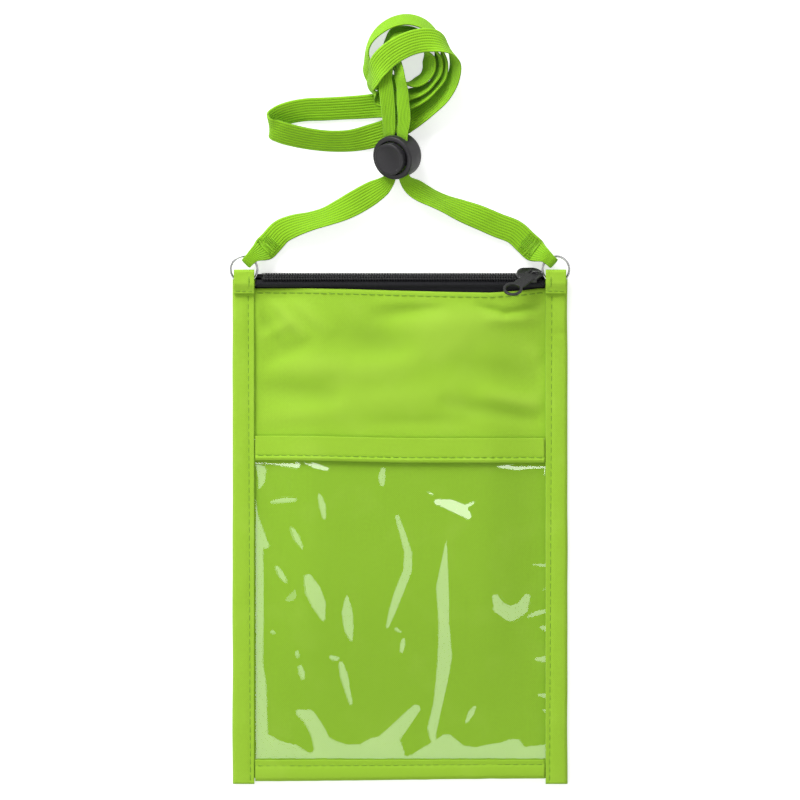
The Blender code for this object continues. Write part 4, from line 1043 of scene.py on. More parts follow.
def make_lanyard():
    """One knitted tape with rounded edges and lengthwise ribs, wound as it lies."""
    rows, arc = lanyard_rows()
    way, out = ribbon_frame(rows)
    ribs = settings().lanyard_ribs
    side = np.linspace(0.0, 1.0, ribs * 4 + 1)
    ridge = np.abs(np.sin(math.pi * ribs * side)) ** 0.7
    ridge = ridge * (0.86 + 0.14 * np.sin(math.pi * side))
    edge = np.sqrt(np.clip(1 - np.abs(2 * side - 1) ** 5, 0.0, 1.0))
    height = (0.70 + 0.30 * ridge) * edge
    across = np.concatenate([side, side[-2:0:-1]])
    raised = np.concatenate([height, -height[-2:0:-1]])
    thick = settings().lanyard_thickness / 2
    swell = np.array([noise.noise(Vector((place * 45, 2.0, 0.0))) for place in arc])
    thickness = thick * (0.96 + 0.05 * swell)
    shift = (across - 0.5)[None, :, None] * rows[:, 6, None, None] * way[:, None, :]
    lift = raised[None, :, None] * thickness[:, None, None] * out[:, None, :]
    points = rows[:, None, :3] + shift + lift
    uvs = np.stack(np.meshgrid(across, arc), axis=2)
    mesh = surface_mesh("lanyard_tape", points, closed_across=True, uvs=uvs)
    bm = bmesh.new()
    bm.from_mesh(mesh)
    open_edges = [edge for edge in bm.edges if edge.is_boundary]
    bmesh.ops.holes_fill(bm, edges=open_edges, sides=0)
    bmesh.ops.recalc_face_normals(bm, faces=bm.faces[:])
    bm.to_mesh(mesh)
    bm.free()
    parts = ("left_end", "left_run", "loops", "right_run", "right_end")
    nodes = ["lanyard_" + part for part in parts]
    link("lanyard_tape", mesh, lanyard_material(), "pouch", nodes)


# The tacks: the rows of the end between which they lie, then where each of the two layers starts
# and ends there and its half width as a share of the tape's
TACK_ROWS = (14.6, 16.9)
TACK_LAYERS = [(0.02, 0.42, 0.47), (0.34, 0.72, 0.4324)]
TACK_TURNS = 4
TACK_THREAD = 0.00014


def tack_paths(side):
    """Zigzag thread that sews a lanyard's tail down, over the tape's whole width."""
    run = [route_row(*row) for row in LANYARD_ROUTE]
    start = run[0] if side < 0 else run[-1]
    rows = end_rows(side, start) + ([run[0], run[1]] if side < 0 else [run[-1], run[-2]])
    rows = smooth_rows(rows, *TACK_ROWS, 60)
    way, out = ribbon_frame(rows)
    up = out * np.sign(out[:, 2:3])
    paths = []
    for first, last, width in TACK_LAYERS:
        path = []
        for step, place in enumerate(np.linspace(first, last, TACK_TURNS * 2 + 1)):
            index = int(place * (len(rows) - 1))
            reach = (width if step % 2 else -width) * rows[index, 6]
            for share in (0.0, 0.33, 0.66):
                swing = reach * (2 * share - 1) if step else reach
                arch = 0.72 + 0.16 * math.sin(math.pi * share)
                path.append(rows[index, :3] + way[index] * swing + up[index] * 0.001 * arch)
        paths.append(path)
    return paths


def make_tacks():
    for side, name in ((-1, "left"), (1, "right")):
        thread = thread_material("Tack thread", settings().tack_colour)
        lines = [(path, TACK_THREAD, 6) for path in tack_paths(side)]
        tubes("lanyard_%s_tack" % name, lines, thread, "pouch")


# ---------------------------------------------------------------- pouch


def panel_grid(top, step, extra_rows=()):
    """A grid of places over the whole pouch, up to a top edge; returns its lines too."""
    columns = lines_between(-PANEL_EDGE, PANEL_EDGE, step)
    rows = lines_between(PANEL_BOTTOM, top, step, extra_rows)
    return *np.meshgrid(columns, rows), columns, rows


def hem_sag(x):
    """How far the front cloth's top edge hangs below its line: most right of the middle."""
    places = (-38.0, -19.0, 0.0, 19.0, 34.0, 46.0, 53.0)
    return np.interp(x * 1000, places, (0.0, 0.38, 0.95, 1.44, 1.70, 0.9, 0.0)) * MM


def front_surface(x, y):
    """Height of the middle of the front cloth."""
    z = front_bottom(x, y) + CLOTH / 2 + fold_height(x, y)
    free = smooth_share(y, HEADER_TOP, HEADER_TOP + SEAM_FADE)
    free = free * (1 - smooth_share(y, FRONT_TOP - SEAM_FADE, FRONT_TOP))
    return z + free * ripple(x, y, 0.009, 0.00012)


def make_back():
    """The back cloth, with a soft unevenness inside its bound rims."""
    x, y, _, _ = panel_grid(BACK_TOP, settings().cloth_step)
    inside = 1 - smooth_share(np.abs(x), BELLY_EDGE - 0.008, BELLY_EDGE)
    inside = inside * smooth_share(y, LOW_RIM, LOW_RIM + 0.01)
    z = back_bottom(x, y) + CLOTH / 2 + np.abs(ripple(x, y, 0.022, 0.00055)) * inside
    flat_sheet("back_cloth", x, y, z, CLOTH, "back_panel")


def make_front():
    """The front cloth, with its top edge folded down and sewn as a hem."""
    seam = FRONT_TOP - HEM_SEAM
    seam_rows = [seam + shift for shift in (-0.0006, -0.0003, 0.0, 0.0003, 0.0006)]
    x, y, _, _ = panel_grid(FRONT_TOP, settings().cloth_step, seam_rows)
    z = front_surface(x, y)
    below = FRONT_TOP - y
    y = y - hem_sag(x) * smooth_share(y, FRONT_TOP - 0.020, FRONT_TOP - 0.003)
    hem = (1 - smooth_share(below, 0.0014, 0.0032)) * (1 - 0.7 * np.exp(-(below / 0.0003) ** 2))
    z = z + 0.00014 * hem + seam_dent(below - HEM_SEAM, x, 0.00012, 0.0004)
    item = flat_sheet("front_cloth", x, y, z, CLOTH, "front_panel")
    # The Fold attribute drives the painted shade in the fold hollows and the painted highlight on
    # the fold crests
    layer = item.data.attributes.new("Fold", "FLOAT", "POINT")
    lift = np.clip(fold_height(x, y) / FULL_FOLD_PAINT, -1.0, 1.0)
    layer.data.foreach_set("value", lift.reshape(-1).astype(np.float32))
    width = INNER_EDGE - 0.0004
    line_x = np.linspace(-width, width, 240)
    line_z = front_surface(line_x[None], np.full((1, 240), seam))[0] + CLOTH / 2 + 0.0001
    stitches("front_hem_stitches", line_x, seam - hem_sag(line_x), line_z)


# Where the vinyl puckers: the way each faces (1 left and down, 2 right and up), and its middle line
# with its half widths, in millimetres
PUCKERS = [
    (1, [(-54.4, 21.4, 0.7), (-52.4, 18.6, 1.9), (-52.4, 14.6, 1.3), (-53.4, 11.8, 0.4)]),
    (1, [(-48.6, 7.0, 0.3), (-44.0, 7.6, 0.7), (-39.6, 7.8, 0.4)]),
    (1, [(-30.4, 9.4, 0.6), (-29.2, 5.4, 1.3), (-28.6, 1.0, 0.8)]),
    (1, [(-40.6, -3.4, 0.5), (-39.0, -6.6, 1.0), (-36.8, -10.6, 0.3)]),
    (1, [(-46.6, -18.0, 0.5), (-45.0, -20.4, 0.9), (-43.2, -23.0, 0.4)]),
    (1, [(-34.6, -22.0, 1.5), (-32.6, -26.6, 2.7), (-30.4, -32.0, 2.5), (-29.0, -37.6, 0.7)]),
    (1, [(-20.0, -29.0, 0.5), (-19.8, -35.0, 2.1), (-19.2, -41.6, 1.7), (-18.2, -45.6, 0.5)]),
    (1, [(-22.2, -54.4, 0.8), (-21.0, -59.0, 1.4), (-19.6, -65.0, 0.9), (-18.4, -69.6, 0.6)]),
    (1, [(-6.4, 19.0, 1.0), (-6.8, 16.2, 1.4), (-6.6, 13.6, 1.0)]),
    (1, [(-1.0, 1.2, 0.9), (1.2, -5.4, 1.2), (3.2, -12.4, 1.5), (3.0, -19.2, 1.7),
         (-0.4, -27.8, 1.7), (-2.8, -34.8, 1.3), (-4.6, -40.6, 0.5)]),
    (1, [(17.6, -7.4, 0.2), (17.2, -14.2, 1.1), (16.2, -25.8, 2.4), (16.8, -39.0, 2.0),
         (17.2, -52.0, 2.7), (16.0, -61.0, 2.2), (14.6, -69.6, 1.7), (12.4, -79.0, 1.8),
         (12.8, -84.0, 0.9)]),
    (1, [(-1.4, -41.2, 0.6), (0.2, -42.4, 0.5)]),
    (1, [(1.4, -45.4, 0.6), (1.2, -47.4, 1.0), (0.8, -49.8, 0.6)]),
    (1, [(-25.8, -52.0, 0.8), (-24.2, -52.6, 0.9), (-23.0, -52.4, 0.4)]),
    (1, [(-38.8, -50.2, 0.4), (-38.4, -51.6, 0.4)]),
    (1, [(-37.6, -55.8, 0.6), (-36.9, -58.0, 0.9), (-36.6, -60.2, 0.4)]),
    (1, [(-48.4, -42.2, 0.4), (-47.4, -42.8, 0.3)]),
    (1, [(28.6, -70.8, 0.5), (27.0, -73.4, 1.2), (25.4, -76.6, 0.5)]),
    (2, [(10.4, 10.4, 0.3), (12.4, 9.4, 0.5)]),
    (2, [(14.0, 6.6, 1.1), (18.8, 5.6, 2.1), (23.4, 3.6, 2.3), (25.8, 1.4, 1.4)]),
    (2, [(24.6, 4.6, 0.9), (28.0, 6.4, 0.5)]),
    (2, [(55.0, 22.0, 0.3), (55.0, 17.0, 0.4)]),
    (1, [(36.2, -29.4, 1.4), (37.8, -33.4, 2.6), (42.0, -35.8, 3.0), (46.2, -33.6, 2.6),
         (48.2, -29.2, 1.4)]),
    (1, [(48.6, -36.8, 0.6), (51.6, -35.6, 1.1), (55.4, -34.6, 0.9)]),
    (1, [(50.4, -17.0, 0.5), (55.4, -17.4, 0.8)]),
    (1, [(54.0, -27.0, 0.3), (55.4, -26.0, 0.4)]),
    (1, [(53.4, -40.8, 0.7), (55.4, -41.4, 1.3)]),
    (1, [(51.8, -52.9, 0.8), (55.4, -52.9, 1.4)]),
    (1, [(52.6, -66.6, 0.6), (55.4, -66.8, 1.2)]),
    (1, [(54.2, -72.4, 0.5), (55.4, -72.4, 0.9)]),
    (2, [(-55.0, 22.4, 1.3), (-48.0, 22.0, 1.2), (-39.0, 20.6, 1.2)]),
    (2, [(-35.6, 21.8, 0.6), (-31.6, 20.2, 1.1), (-27.4, 19.0, 0.7)]),
    (2, [(37.2, 20.0, 0.5), (44.0, 19.8, 1.2), (55.4, 20.8, 1.3)]),
]
# The rims where the vinyl slopes down to the binding: (place, reach from the rim) along each
LEFT_RIM = [
    (8.0, 0.2), (1.0, 1.4), (-5.0, 3.6), (-10.2, 5.6), (-11.2, 3.1), (-26.0, 3.2), (-40.0, 3.2),
    (-54.0, 3.0), (-58.0, 3.6), (-62.0, 4.2), (-76.0, 4.8), (-81.0, 4.9), (-92.0, 5.0),
]
BOTTOM_RIM = [
    (-56.0, 12.4), (-50.0, 9.6), (-45.4, 7.0), (-39.0, 5.4), (-35.6, 3.0), (-33.6, 2.2),
    (-32.2, 4.0), (-31.4, 6.6), (-28.0, 8.8), (-23.4, 6.6), (-20.0, 5.6), (-15.4, 5.6),
    (-11.0, 8.0), (-7.0, 8.8), (-2.6, 9.6), (0.6, 6.0), (2.2, 1.0), (4.4, 1.6), (8.0, 4.0),
    (12.6, 6.6), (16.4, 9.4), (18.8, 9.6), (21.0, 7.8), (24.4, 5.2), (28.6, 4.6), (33.4, 5.6),
    (38.4, 6.4), (42.0, 7.8), (45.2, 7.6), (47.4, 4.6), (52.4, 5.4), (56.0, 5.6),
]
# Ridges that join the bottom rim's puckers: as the puckers
RIM_ARMS = [
    (1, [(-38.0, -73.0, 1.2), (-34.4, -74.6, 2.6), (-31.0, -80.0, 2.8), (-28.6, -87.0, 3.6)]),
    (1, [(6.2, -71.6, 1.7), (1.0, -77.6, 2.6), (-4.6, -84.0, 3.6), (-8.0, -89.0, 4.0)]),
]


def stroke(x, y, line):
    """How far inside a stroke of changing width each point lies, in metres; negative outside."""
    best = np.full(x.shape, -1.0)
    for (x1, y1, r1), (x2, y2, r2) in zip(line, line[1:]):
        way = np.array((x2 - x1, y2 - y1)) * MM
        share = np.clip(((x - x1 * MM) * way[0] + (y - y1 * MM) * way[1]) / (way @ way), 0.0, 1.0)
        far = np.hypot(x - x1 * MM - share * way[0], y - y1 * MM - share * way[1])
        best = np.maximum(best, (r1 + (r2 - r1) * share) * MM - far)
    return best


def pucker_masks(x, y):
    """Two masks, from 0 to 1, of the places that face left and down, and right and up."""
    masks = [np.zeros(x.shape), np.zeros(x.shape)]
    blur = 0.0005
    for facing, line in PUCKERS + RIM_ARMS:
        inside = smooth_share(stroke(x, y, line), -blur, blur)
        masks[facing - 1] = np.maximum(masks[facing - 1], inside)
    places, reach = np.array(LEFT_RIM[::-1]).T * MM
    left = np.interp(y, places, reach, right=0.0) - (x + INNER_EDGE)
    left = np.where(y > places[-1], -1.0, left)
    places, reach = np.array(BOTTOM_RIM).T * MM
    low = np.interp(x, places, reach) - (y - LOW_RIM)
    for rim in (left, low):
        masks[0] = np.maximum(masks[0], smooth_share(rim, -blur, blur))
    masks[0] = masks[0] * (1 - masks[1])
    return masks


# The ways that the two kinds of pucker lean, as slopes of the surface's normal
PUCKER_LEANS = [(-0.25, -0.22), (-0.216, 0.535)]


def make_pocket():
    """The clear sheet: it follows the cloth, bulges softly and puckers where it was creased."""
    x, y, columns, rows = panel_grid(HEADER_TOP - CLEARANCE, 0.0006)
    masks = pucker_masks(x, y)
    z = front_bottom(x, y) + CLOTH + CLEARANCE + VINYL / 2
    free = 1 - smooth_share(np.abs(x), INNER_EDGE - RIM_FADE, INNER_EDGE)
    free = free * smooth_share(y, LOW_RIM, LOW_RIM + RIM_FADE)
    free = free * (1 - smooth_share(y, HEADER_BOTTOM - RIM_FADE, HEADER_BOTTOM))
    z = z + free * (0.00018 + ripple(x, y, 0.016, 0.00016)) + 0.00022 * (masks[0] + masks[1]) * free
    look = (vinyl_material(), "clear_vinyl")
    item = flat_sheet("clear_pocket", x, y, z, VINYL, "window_sheet", *look)
    slope_y, slope_x = np.gradient(z, rows, columns)
    leans = np.zeros((*x.shape, 3))
    for mask, lean in zip(masks, PUCKER_LEANS):
        leans[..., 0] += mask * (lean[0] + slope_x)
        leans[..., 1] += mask * (lean[1] + slope_y)
    layer = item.data.attributes.new("Pucker", "FLOAT_VECTOR", "POINT")
    layer.data.foreach_set("vector", leans.reshape(-1).astype(np.float32))


def header_slant(x):
    """How far the strip across the pocket lies above its line: it rises to the left."""
    return 0.0009 * (1 - smooth_share(x, -0.045, 0.010)) - 0.0003


def make_header():
    """The cloth strip across the clear pocket's mouth, with its turned lower edge and seam."""
    width = INNER_EDGE
    columns = lines_between(-width, width, settings().cloth_step)
    seam = HEADER_BOTTOM + 0.0019
    extra = [seam + shift * MM for shift in (-0.9, -0.6, -0.3, 0.0, 0.3, 0.6)]
    high = HEADER_TOP - HEADER_BOTTOM
    rows = lines_between(0.0, 1.0, 0.045, [(line - HEADER_BOTTOM) / high for line in extra])
    x, share = np.meshgrid(columns, rows)
    slant = header_slant(x)
    y = HEADER_BOTTOM + high * share + slant
    base = CLOTH + CLEARANCE + VINYL + CLEARANCE + BINDING / 2
    z = front_bottom(x, y) + base
    z = z + ripple(x, y, 0.008, 0.00010) * np.sin(math.pi * share)
    flat_y = y - slant
    z = z + seam_dent(flat_y - seam, x, 0.00022, 0.0005)
    z = z + 0.00034 * np.exp(-((flat_y - seam + 0.0009) / 0.0005) ** 2)
    flat_sheet("pocket_header", x, y, z, BINDING, "window_header")
    line_x = np.linspace(-width + 0.0006, width - 0.0006, 240)
    line_y = seam + header_slant(line_x)
    line_z = front_bottom(line_x, line_y) + base + BINDING / 2 - 0.00008
    stitches("header_stitches", line_x, line_y, line_z)


def fold_section(width, front_middle, steps=15):
    """A strip folded round a rim: distance from its inner edge and height, with a round fold."""
    outer = width - BINDING / 2
    low = BINDING / 2
    middle = (low + front_middle) / 2
    radius = (front_middle - low) / 2
    bend = min(radius, 0.0011)
    path = [(share * (outer - bend), low) for share in np.linspace(0, 1, steps)]
    for angle in np.linspace(-math.pi / 2, math.pi / 2, 13)[1:-1]:
        path.append((outer - bend + bend * math.cos(angle), middle + radius * math.sin(angle)))
    path += [(share * (outer - bend), front_middle) for share in np.linspace(1, 0, steps)]
    return path


def binding_points(width, front_middle, stitch_in, along):
    """One cross-section of a binding, with its seam pulled in and its leaves a little full."""
    out = []
    path = fold_section(width, front_middle)
    half = len(path) // 2
    for number, (reach, height) in enumerate(path):
        front = number > half
        dent = -seam_dent(reach - stitch_in, along, 0.00024, 0.0006)
        share = min(1.0, max(0.0, (reach - stitch_in) / (width - stitch_in)))
        full = 0.00016 * math.sin(math.pi * share)
        lip = 0.00010 * math.exp(-(reach / 0.0005) ** 2)
        change = full - dent + lip
        out.append((reach, height + change if front else max(BINDING / 2, height + dent * 0.3)))
    return out


def bottom_slant(x):
    """How far the bottom binding's inner edge lies above its line: it rises to the right."""
    return -0.0004 + 0.0010 * smooth_share(x, -0.055, 0.055)


def make_bottom_edge():
    """The bottom binding, its inner edge aslant and a little wavy."""
    inner = LOW_RIM - CLEARANCE
    leaf = BINDING_LEAF + BINDING / 2
    stitch_in = 0.0021
    points, uvs = [], []
    for x in lines_between(-INNER_EDGE, INNER_EDGE, 0.0007):
        wave = 0.00012 * noise.noise(Vector((x * 160, 4.0, 0.0)))
        slant = bottom_slant(x)
        lift = max(0.0, 0.35 * noise.noise(Vector((x * 75, 9.0, 0.0)))) * MM
        row, flat = [], []
        for out, z in binding_points(BOTTOM_BINDING_WIDTH, leaf, stitch_in, x):
            front = z > LEAF_PARTING
            y = inner - out + slant * min(1.0, out / SLANT_REACH) + wave
            row.append((x, y, z + lift * front))
            flat.append((inner - out + LEAF_SHIFT * front, x))
        points.append(row)
        uvs.append(flat)
    sheet("bottom_edge", np.array(points), np.array(uvs), BINDING, "bottom_binding")
    line_x = np.linspace(-INNER_EDGE + 0.0006, INNER_EDGE - 0.0006, 240)
    line_y = inner - stitch_in + bottom_slant(line_x) * stitch_in / SLANT_REACH
    stitches("bottom_edge_stitches", line_x, line_y, BINDING_LEAF + BINDING - STITCH_LIFT)


def side_seam(y):
    """Distance of a side binding's seam from its inner edge."""
    return 0.0024 - 0.0009 * (TAB_TOP - y) / (TAB_TOP - BOTTOM)


def make_side_edge(name, side, node_name):
    """A side binding with its seam; the right one has a crease below the zipper."""
    points, uvs = [], []
    for y in lines_between(BOTTOM, SIDE_BINDING_TOP, 0.0008):
        stitch_in = float(side_seam(y))
        lift = max(0.0, 0.45 * noise.noise(Vector((y * 60, 3.0 + side, 0.0)))) * MM
        crease = 0.00028 * math.exp(-((y - 0.0705) / 0.0012) ** 2) if side > 0 else 0.0
        wave = 0.00016 * noise.noise(Vector((y * 45, 7.0 + side, 0.0)))
        row, flat = [], []
        leaf = float(leaf_bottom(y)) + BINDING / 2
        for out, z in binding_points(BINDING_WIDTH, leaf, stitch_in, y):
            front = z > LEAF_PARTING
            share = min(1.0, max(0.0, (out - stitch_in) / 0.002))
            x = side * (BINDING_INNER + out + wave * share)
            row.append((x, y, z + (lift - crease) * share * front))
            flat.append((out + LEAF_SHIFT * front, y))
        points.append(row)
        uvs.append(flat)
    sheet(name, np.array(points), np.array(uvs), BINDING, node_name)
    line_y = np.linspace(BOTTOM + 0.0010, TAB_TOP - TAB_LENGTH - 0.0006, 300)
    line_x = side * (BINDING_INNER + side_seam(line_y))
    stitches(name + "_stitches", line_x, line_y, leaf_bottom(line_y) + BINDING - STITCH_LIFT)
    stitches(name + "_back_stitches", line_x, line_y, 0.00012, lift=-0.00010)


def make_tab(name, side, node_name):
    """A loop of cloth round the ring's wire, sewn flat at its foot."""
    rear = BINDING_LEAF + LEAF_RISE + BINDING + CLEARANCE + TAB_THICKNESS / 2
    radius = (RING_WIRE + 2 * CLEARANCE + TAB_THICKNESS) / 2
    foot = TAB_TOP - TAB_LENGTH
    fold = TAB_TOP - TAB_THICKNESS / 2 - radius
    pressed = rear + TAB_THICKNESS + CLEARANCE
    side_line, foot_line = BINDING_INNER + 0.0020, foot + 0.0009

    def front_height(y):
        rise = smooth_share(y, foot + 0.0002, foot + TAB_SEAM + 0.0012)
        return pressed + (rear + 2 * radius - pressed) * rise

    path = [(place, rear) for place in np.linspace(foot, fold, 12)]
    for angle in np.linspace(0, math.pi, 15)[1:-1]:
        path.append((fold + radius * math.sin(angle), rear + radius * (1 - math.cos(angle))))
    path += [(place, float(front_height(place))) for place in np.linspace(fold, foot, 26)]
    points, uvs = [], []
    for x in lines_between(BINDING_INNER, BINDING_INNER + TAB_WIDTH, 0.0004):
        row, flat = [], []
        for y, z in path:
            front = z > rear + radius
            if front:
                dent = seam_dent(x - side_line, y, 0.00018, 0.0005)
                dent += seam_dent(y - foot_line, x, 0.00014, 0.0005)
                dent += 0.00008 * noise.noise(Vector((x * 300, y * 300, side)))
                z = max(z + dent, pressed)
            row.append((side * x, y, z))
            flat.append((x, y + LEAF_SHIFT * front))
        points.append(row)
        uvs.append(flat)
    sheet(name, np.array(points), np.array(uvs), TAB_THICKNESS, node_name)
    line_y = np.linspace(foot + 0.0016, fold - 0.0006, 40)
    height = front_height(line_y) + TAB_THICKNESS / 2 - 0.00006
    stitches(name + "_stitches", side * side_line, line_y, height)
    line_x = side * np.linspace(BINDING_INNER + 0.0004, BINDING_INNER + TAB_WIDTH - 0.0004, 30)
    height = pressed + TAB_THICKNESS / 2 + 0.00006
    stitches(name + "_foot_stitches", line_x, foot_line, height, pitch=0.0019)


def make_ring(name, side, node_name):
    """A round wire ring with the fine line where its ends meet."""
    major, minor = RING_RADIUS - RING_WIRE / 2, RING_WIRE / 2
    gap_at = math.radians(-100)
    points = []
    for angle in np.linspace(0, math.tau, 97)[:-1]:
        away = abs((angle - gap_at + math.pi) % math.tau - math.pi)
        wire = minor * (1 - 0.22 * math.exp(-(away / 0.03) ** 2))
        row = []
        for turn in np.linspace(0, math.tau, 17)[:-1]:
            out = major + wire * math.cos(turn)
            row.append((out * math.cos(angle), out * math.sin(angle), wire * math.sin(turn)))
        points.append(row)
    points = np.array(points + points[:1])
    points += np.array((side * RING_CENTRE.x, RING_CENTRE.y, RING_CENTRE.z))
    mesh = surface_mesh(name, points, closed_across=True)
    bm = bmesh.new()
    bm.from_mesh(mesh)
    bmesh.ops.remove_doubles(bm, verts=bm.verts[:], dist=0.000001)
    bmesh.ops.recalc_face_normals(bm, faces=bm.faces[:])
    bm.to_mesh(mesh)
    bm.free()
    link(name, mesh, wire_material(), node_name, [node_name])


# ---------------------------------------------------------------- zipper


def chain_frame(x=0.0):
    """The tilted plane of the zipper's chain: local X along it, local Y across it, local Z out."""
    return Matrix.Translation((x, CHAIN_Y, CHAIN_HEIGHT)) @ Matrix.Rotation(-CHAIN_TILT, 4, "X")


def tape_from(name, path_at, node_name, sign):
    """A zipper tape from a path of (y, z) at each x, with woven ribs at the chain's end of it.

    The sign is 1 where the path ends at the chain and -1 where it starts there.
    """
    points, uvs = [], []
    for x in lines_between(-INNER_EDGE, INNER_EDGE, 0.0012):
        corners = np.array(path_at(x))
        arc = lengths_along(corners)
        places = np.linspace(0, arc[-1], 70)
        y, z = np.interp(places, arc, corners[:, 0]), np.interp(places, arc, corners[:, 1])
        slope_y, slope_z = np.gradient(y), np.gradient(z)
        size = np.hypot(slope_y, slope_z)
        from_end = arc[-1] - places if sign > 0 else places
        ribbed = (from_end > 0.0004) & (from_end < 0.0036)
        rib = 0.00007 * np.sin(math.tau * from_end / 0.00085) * ribbed
        y, z = y - sign * rib * slope_z / size, z + sign * rib * slope_y / size
        points.append(np.stack([np.full_like(y, x), y, z], axis=1))
        uvs.append(np.stack([np.full_like(y, x), places], axis=1))
    look = (zip_tape_material(), "black_tape")
    sheet(name, np.array(points), np.array(uvs), ZIP_TAPE * 0.8, node_name, *look)


def make_tapes():
    """Two tapes: one rises from under the front cloth, the other turns under the chain."""
    transform = chain_frame()
    seat = -COIL_SEAT - ZIP_TAPE / 2
    ridge = transform @ Vector((0.0, -0.0028, seat))
    inner = transform @ Vector((0.0, -0.0006, seat))
    gap = CLEARANCE + ZIP_TAPE / 2
    tape_foot = FRONT_TOP - ZIP_TAPE_HIDDEN

    def front_path(x):
        low = float(front_bottom(x, FRONT_TOP)) - gap
        hidden = float(front_bottom(x, tape_foot)) - gap
        path = [(tape_foot, hidden), (FRONT_TOP, low), (FRONT_TOP + gap, low + gap / 2)]
        for back, up in ((1.3, 0.4), (1.8, 0.75), (2.6, 0.94)):
            path.append((FRONT_TOP + gap * back, low + (ridge.z - low) * up))
        return path + [(ridge.y, ridge.z), (inner.y, inner.z)]

    tape_from("front_zip_tape", front_path, "zipper_front_tape", 1)
    start = transform @ Vector((0.0, 0.0006, seat))
    turn = transform @ Vector((0.0, 0.0023, seat))
    low = BACK_TAPE_FOOT
    bend = (turn.z - low) / 2
    back = [(start.y, start.z), (turn.y, turn.z)]
    for out, up in ((0.75, 1.1), (0.45, 0.25), (-0.6, 0.0)):
        back.append((turn.y + bend * out, low + bend * up))
    back.append((tape_foot, low))
    tape_from("back_zip_tape", lambda x: back, "zipper_back_tape", -1)


COIL_WIRE = 0.00021
# The cord inside the coil and the thread on it: distance across the chain, height and radius
COIL_CORDS = [(0.00128, 0.00058, 0.00030), (0.00150, 0.00108, 0.00012)]
# One loop of the coil: share of the pitch along the chain, then distance across it and height,
# in millimetres
COIL_LOOP = [
    (0.00, 1.75, 0.22),
    (0.10, 1.20, 0.18),
    (0.20, 0.40, 0.20),
    (0.27, -0.22, 0.30),
    (0.32, -0.46, 0.52),
    (0.36, -0.40, 0.78),
    (0.42, -0.10, 0.95),
    (0.52, 0.50, 1.00),
    (0.64, 1.25, 0.98),
    (0.76, 1.72, 0.86),
    (0.88, 1.90, 0.55),
]


def make_teeth(name, side, shift, node_name):
    """One row of coil loops: each goes out over the chain's middle, round and back on the tape."""
    transform = chain_frame()
    pitch = settings().tooth_pitch
    last = COIL_END - 0.0006
    count = int(last / pitch)
    loops = []
    for number in range(-count, count):
        for along, across, height in COIL_LOOP:
            x = (number + along + shift) * pitch
            if abs(x) < last:
                height_here = height * MM + COIL_WIRE * 0.2
                loops.append(transform @ Vector((x, side * across * MM, height_here)))
    lines = [(loops, COIL_WIRE, 6)]
    for across, height, radius in COIL_CORDS:
        places = np.linspace(-last, last, 60)
        line = [transform @ Vector((x, side * across, height)) for x in places]
        lines.append((line, radius, 8))
    tubes(name, lines, coil_material(), "pouch", [node_name])


def plate_from(rows, thickness, face_out=False):
    """A bmesh of a grid of points thickened into a plate."""
    bm = bmesh.new()
    mesh = surface_mesh("plate", np.array(rows))
    bm.from_mesh(mesh)
    bpy.data.meshes.remove(mesh)
    if face_out:
        bmesh.ops.recalc_face_normals(bm, faces=bm.faces[:])
    bmesh.ops.solidify(bm, geom=bm.faces[:], thickness=thickness)
    return bm


def make_slider():
    """The cast slider: rounded top plate with flanges, bottom plate, post and crown."""
    half, wide = SLIDER_LENGTH / 2, SLIDER_WIDTH / 2
    rows = []
    reaches = [0.0, 0.12, 0.3, 0.5, 0.7, 0.86, 0.95, 1.0]
    for share in np.linspace(-1.0, 1.0, 49):
        nose = 1 - 0.34 * smooth_share(share, 0.25, 1.0) - 0.10 * smooth_share(-share, 0.55, 1.0)
        reach = wide * float(nose) * math.sqrt(max(0.0, 1 - abs(share) ** 7))
        row = []
        for place in [-reach_share for reach_share in reaches[::-1]] + reaches[1:]:
            height = PLATE_TOP - 0.00030 * abs(place) ** 3 - 0.00018 * abs(share) ** 4
            row.append((share * half, place * reach, height))
        rows.append(row)
    bm = plate_from(rows, PLATE_THICKNESS)
    bmesh.ops.recalc_face_normals(bm, faces=bm.faces[:])
    for side in (-1, 1):
        near, far = sorted((side * wide * 0.97, side * (wide - FLANGE_WIDTH)))
        low, high = (-half + 0.0008, near, 0.0001), (half - 0.0018, far, PLATE_TOP - 0.00045)
        box_into(bm, low, high, 0.00022)
    under = -COIL_SEAT - ZIP_TAPE - CLEARANCE
    width = UNDER_PLATE_WIDTH / 2
    box_into(bm, (-half, -width, under - UNDER_PLATE_THICKNESS), (half, width, under), 0.0003)
    post, width = half - 0.0004, POST_WIDTH / 2
    low, high = (post - POST_LENGTH, -width, under - 0.0002), (post, width, PLATE_FOOT + 0.0003)
    box_into(bm, low, high, 0.0001)
    inside = PULL_GAP + PULL_BAR + PULL_GAP
    rows = []
    for angle in np.linspace(0, math.pi, 15):
        x = CROWN_PLACE - CROWN_HALF_SPAN * math.cos(angle)
        z = PLATE_TOP - 0.0003 + (inside + 0.00055) * math.sin(angle) ** 0.55
        across = (-0.0005, -0.0003, 0.0, 0.0003, 0.0005)
        rows.append([(x, y, z - 0.00010 * abs(y / 0.0005) ** 2) for y in across])
    mesh = mesh_from(plate_from(rows, CROWN_THICKNESS, face_out=True), "crown")
    bm.from_mesh(mesh)
    bpy.data.meshes.remove(mesh)
    bm.transform(chain_frame(SLIDER_REST))
    mesh = mesh_from(bm, "slider_cast")
    shade_by_angle(mesh, 50)
    link("slider_cast", mesh, enamel_material(), "slider", ["slider_body"])


def arc_points(radius, start, end, count):
    """Points on an arc round the middle of the pull's ring."""
    angles = np.linspace(start, end, count)
    return [(PULL_RING_PLACE + radius * math.cos(a), radius * math.sin(a)) for a in angles]


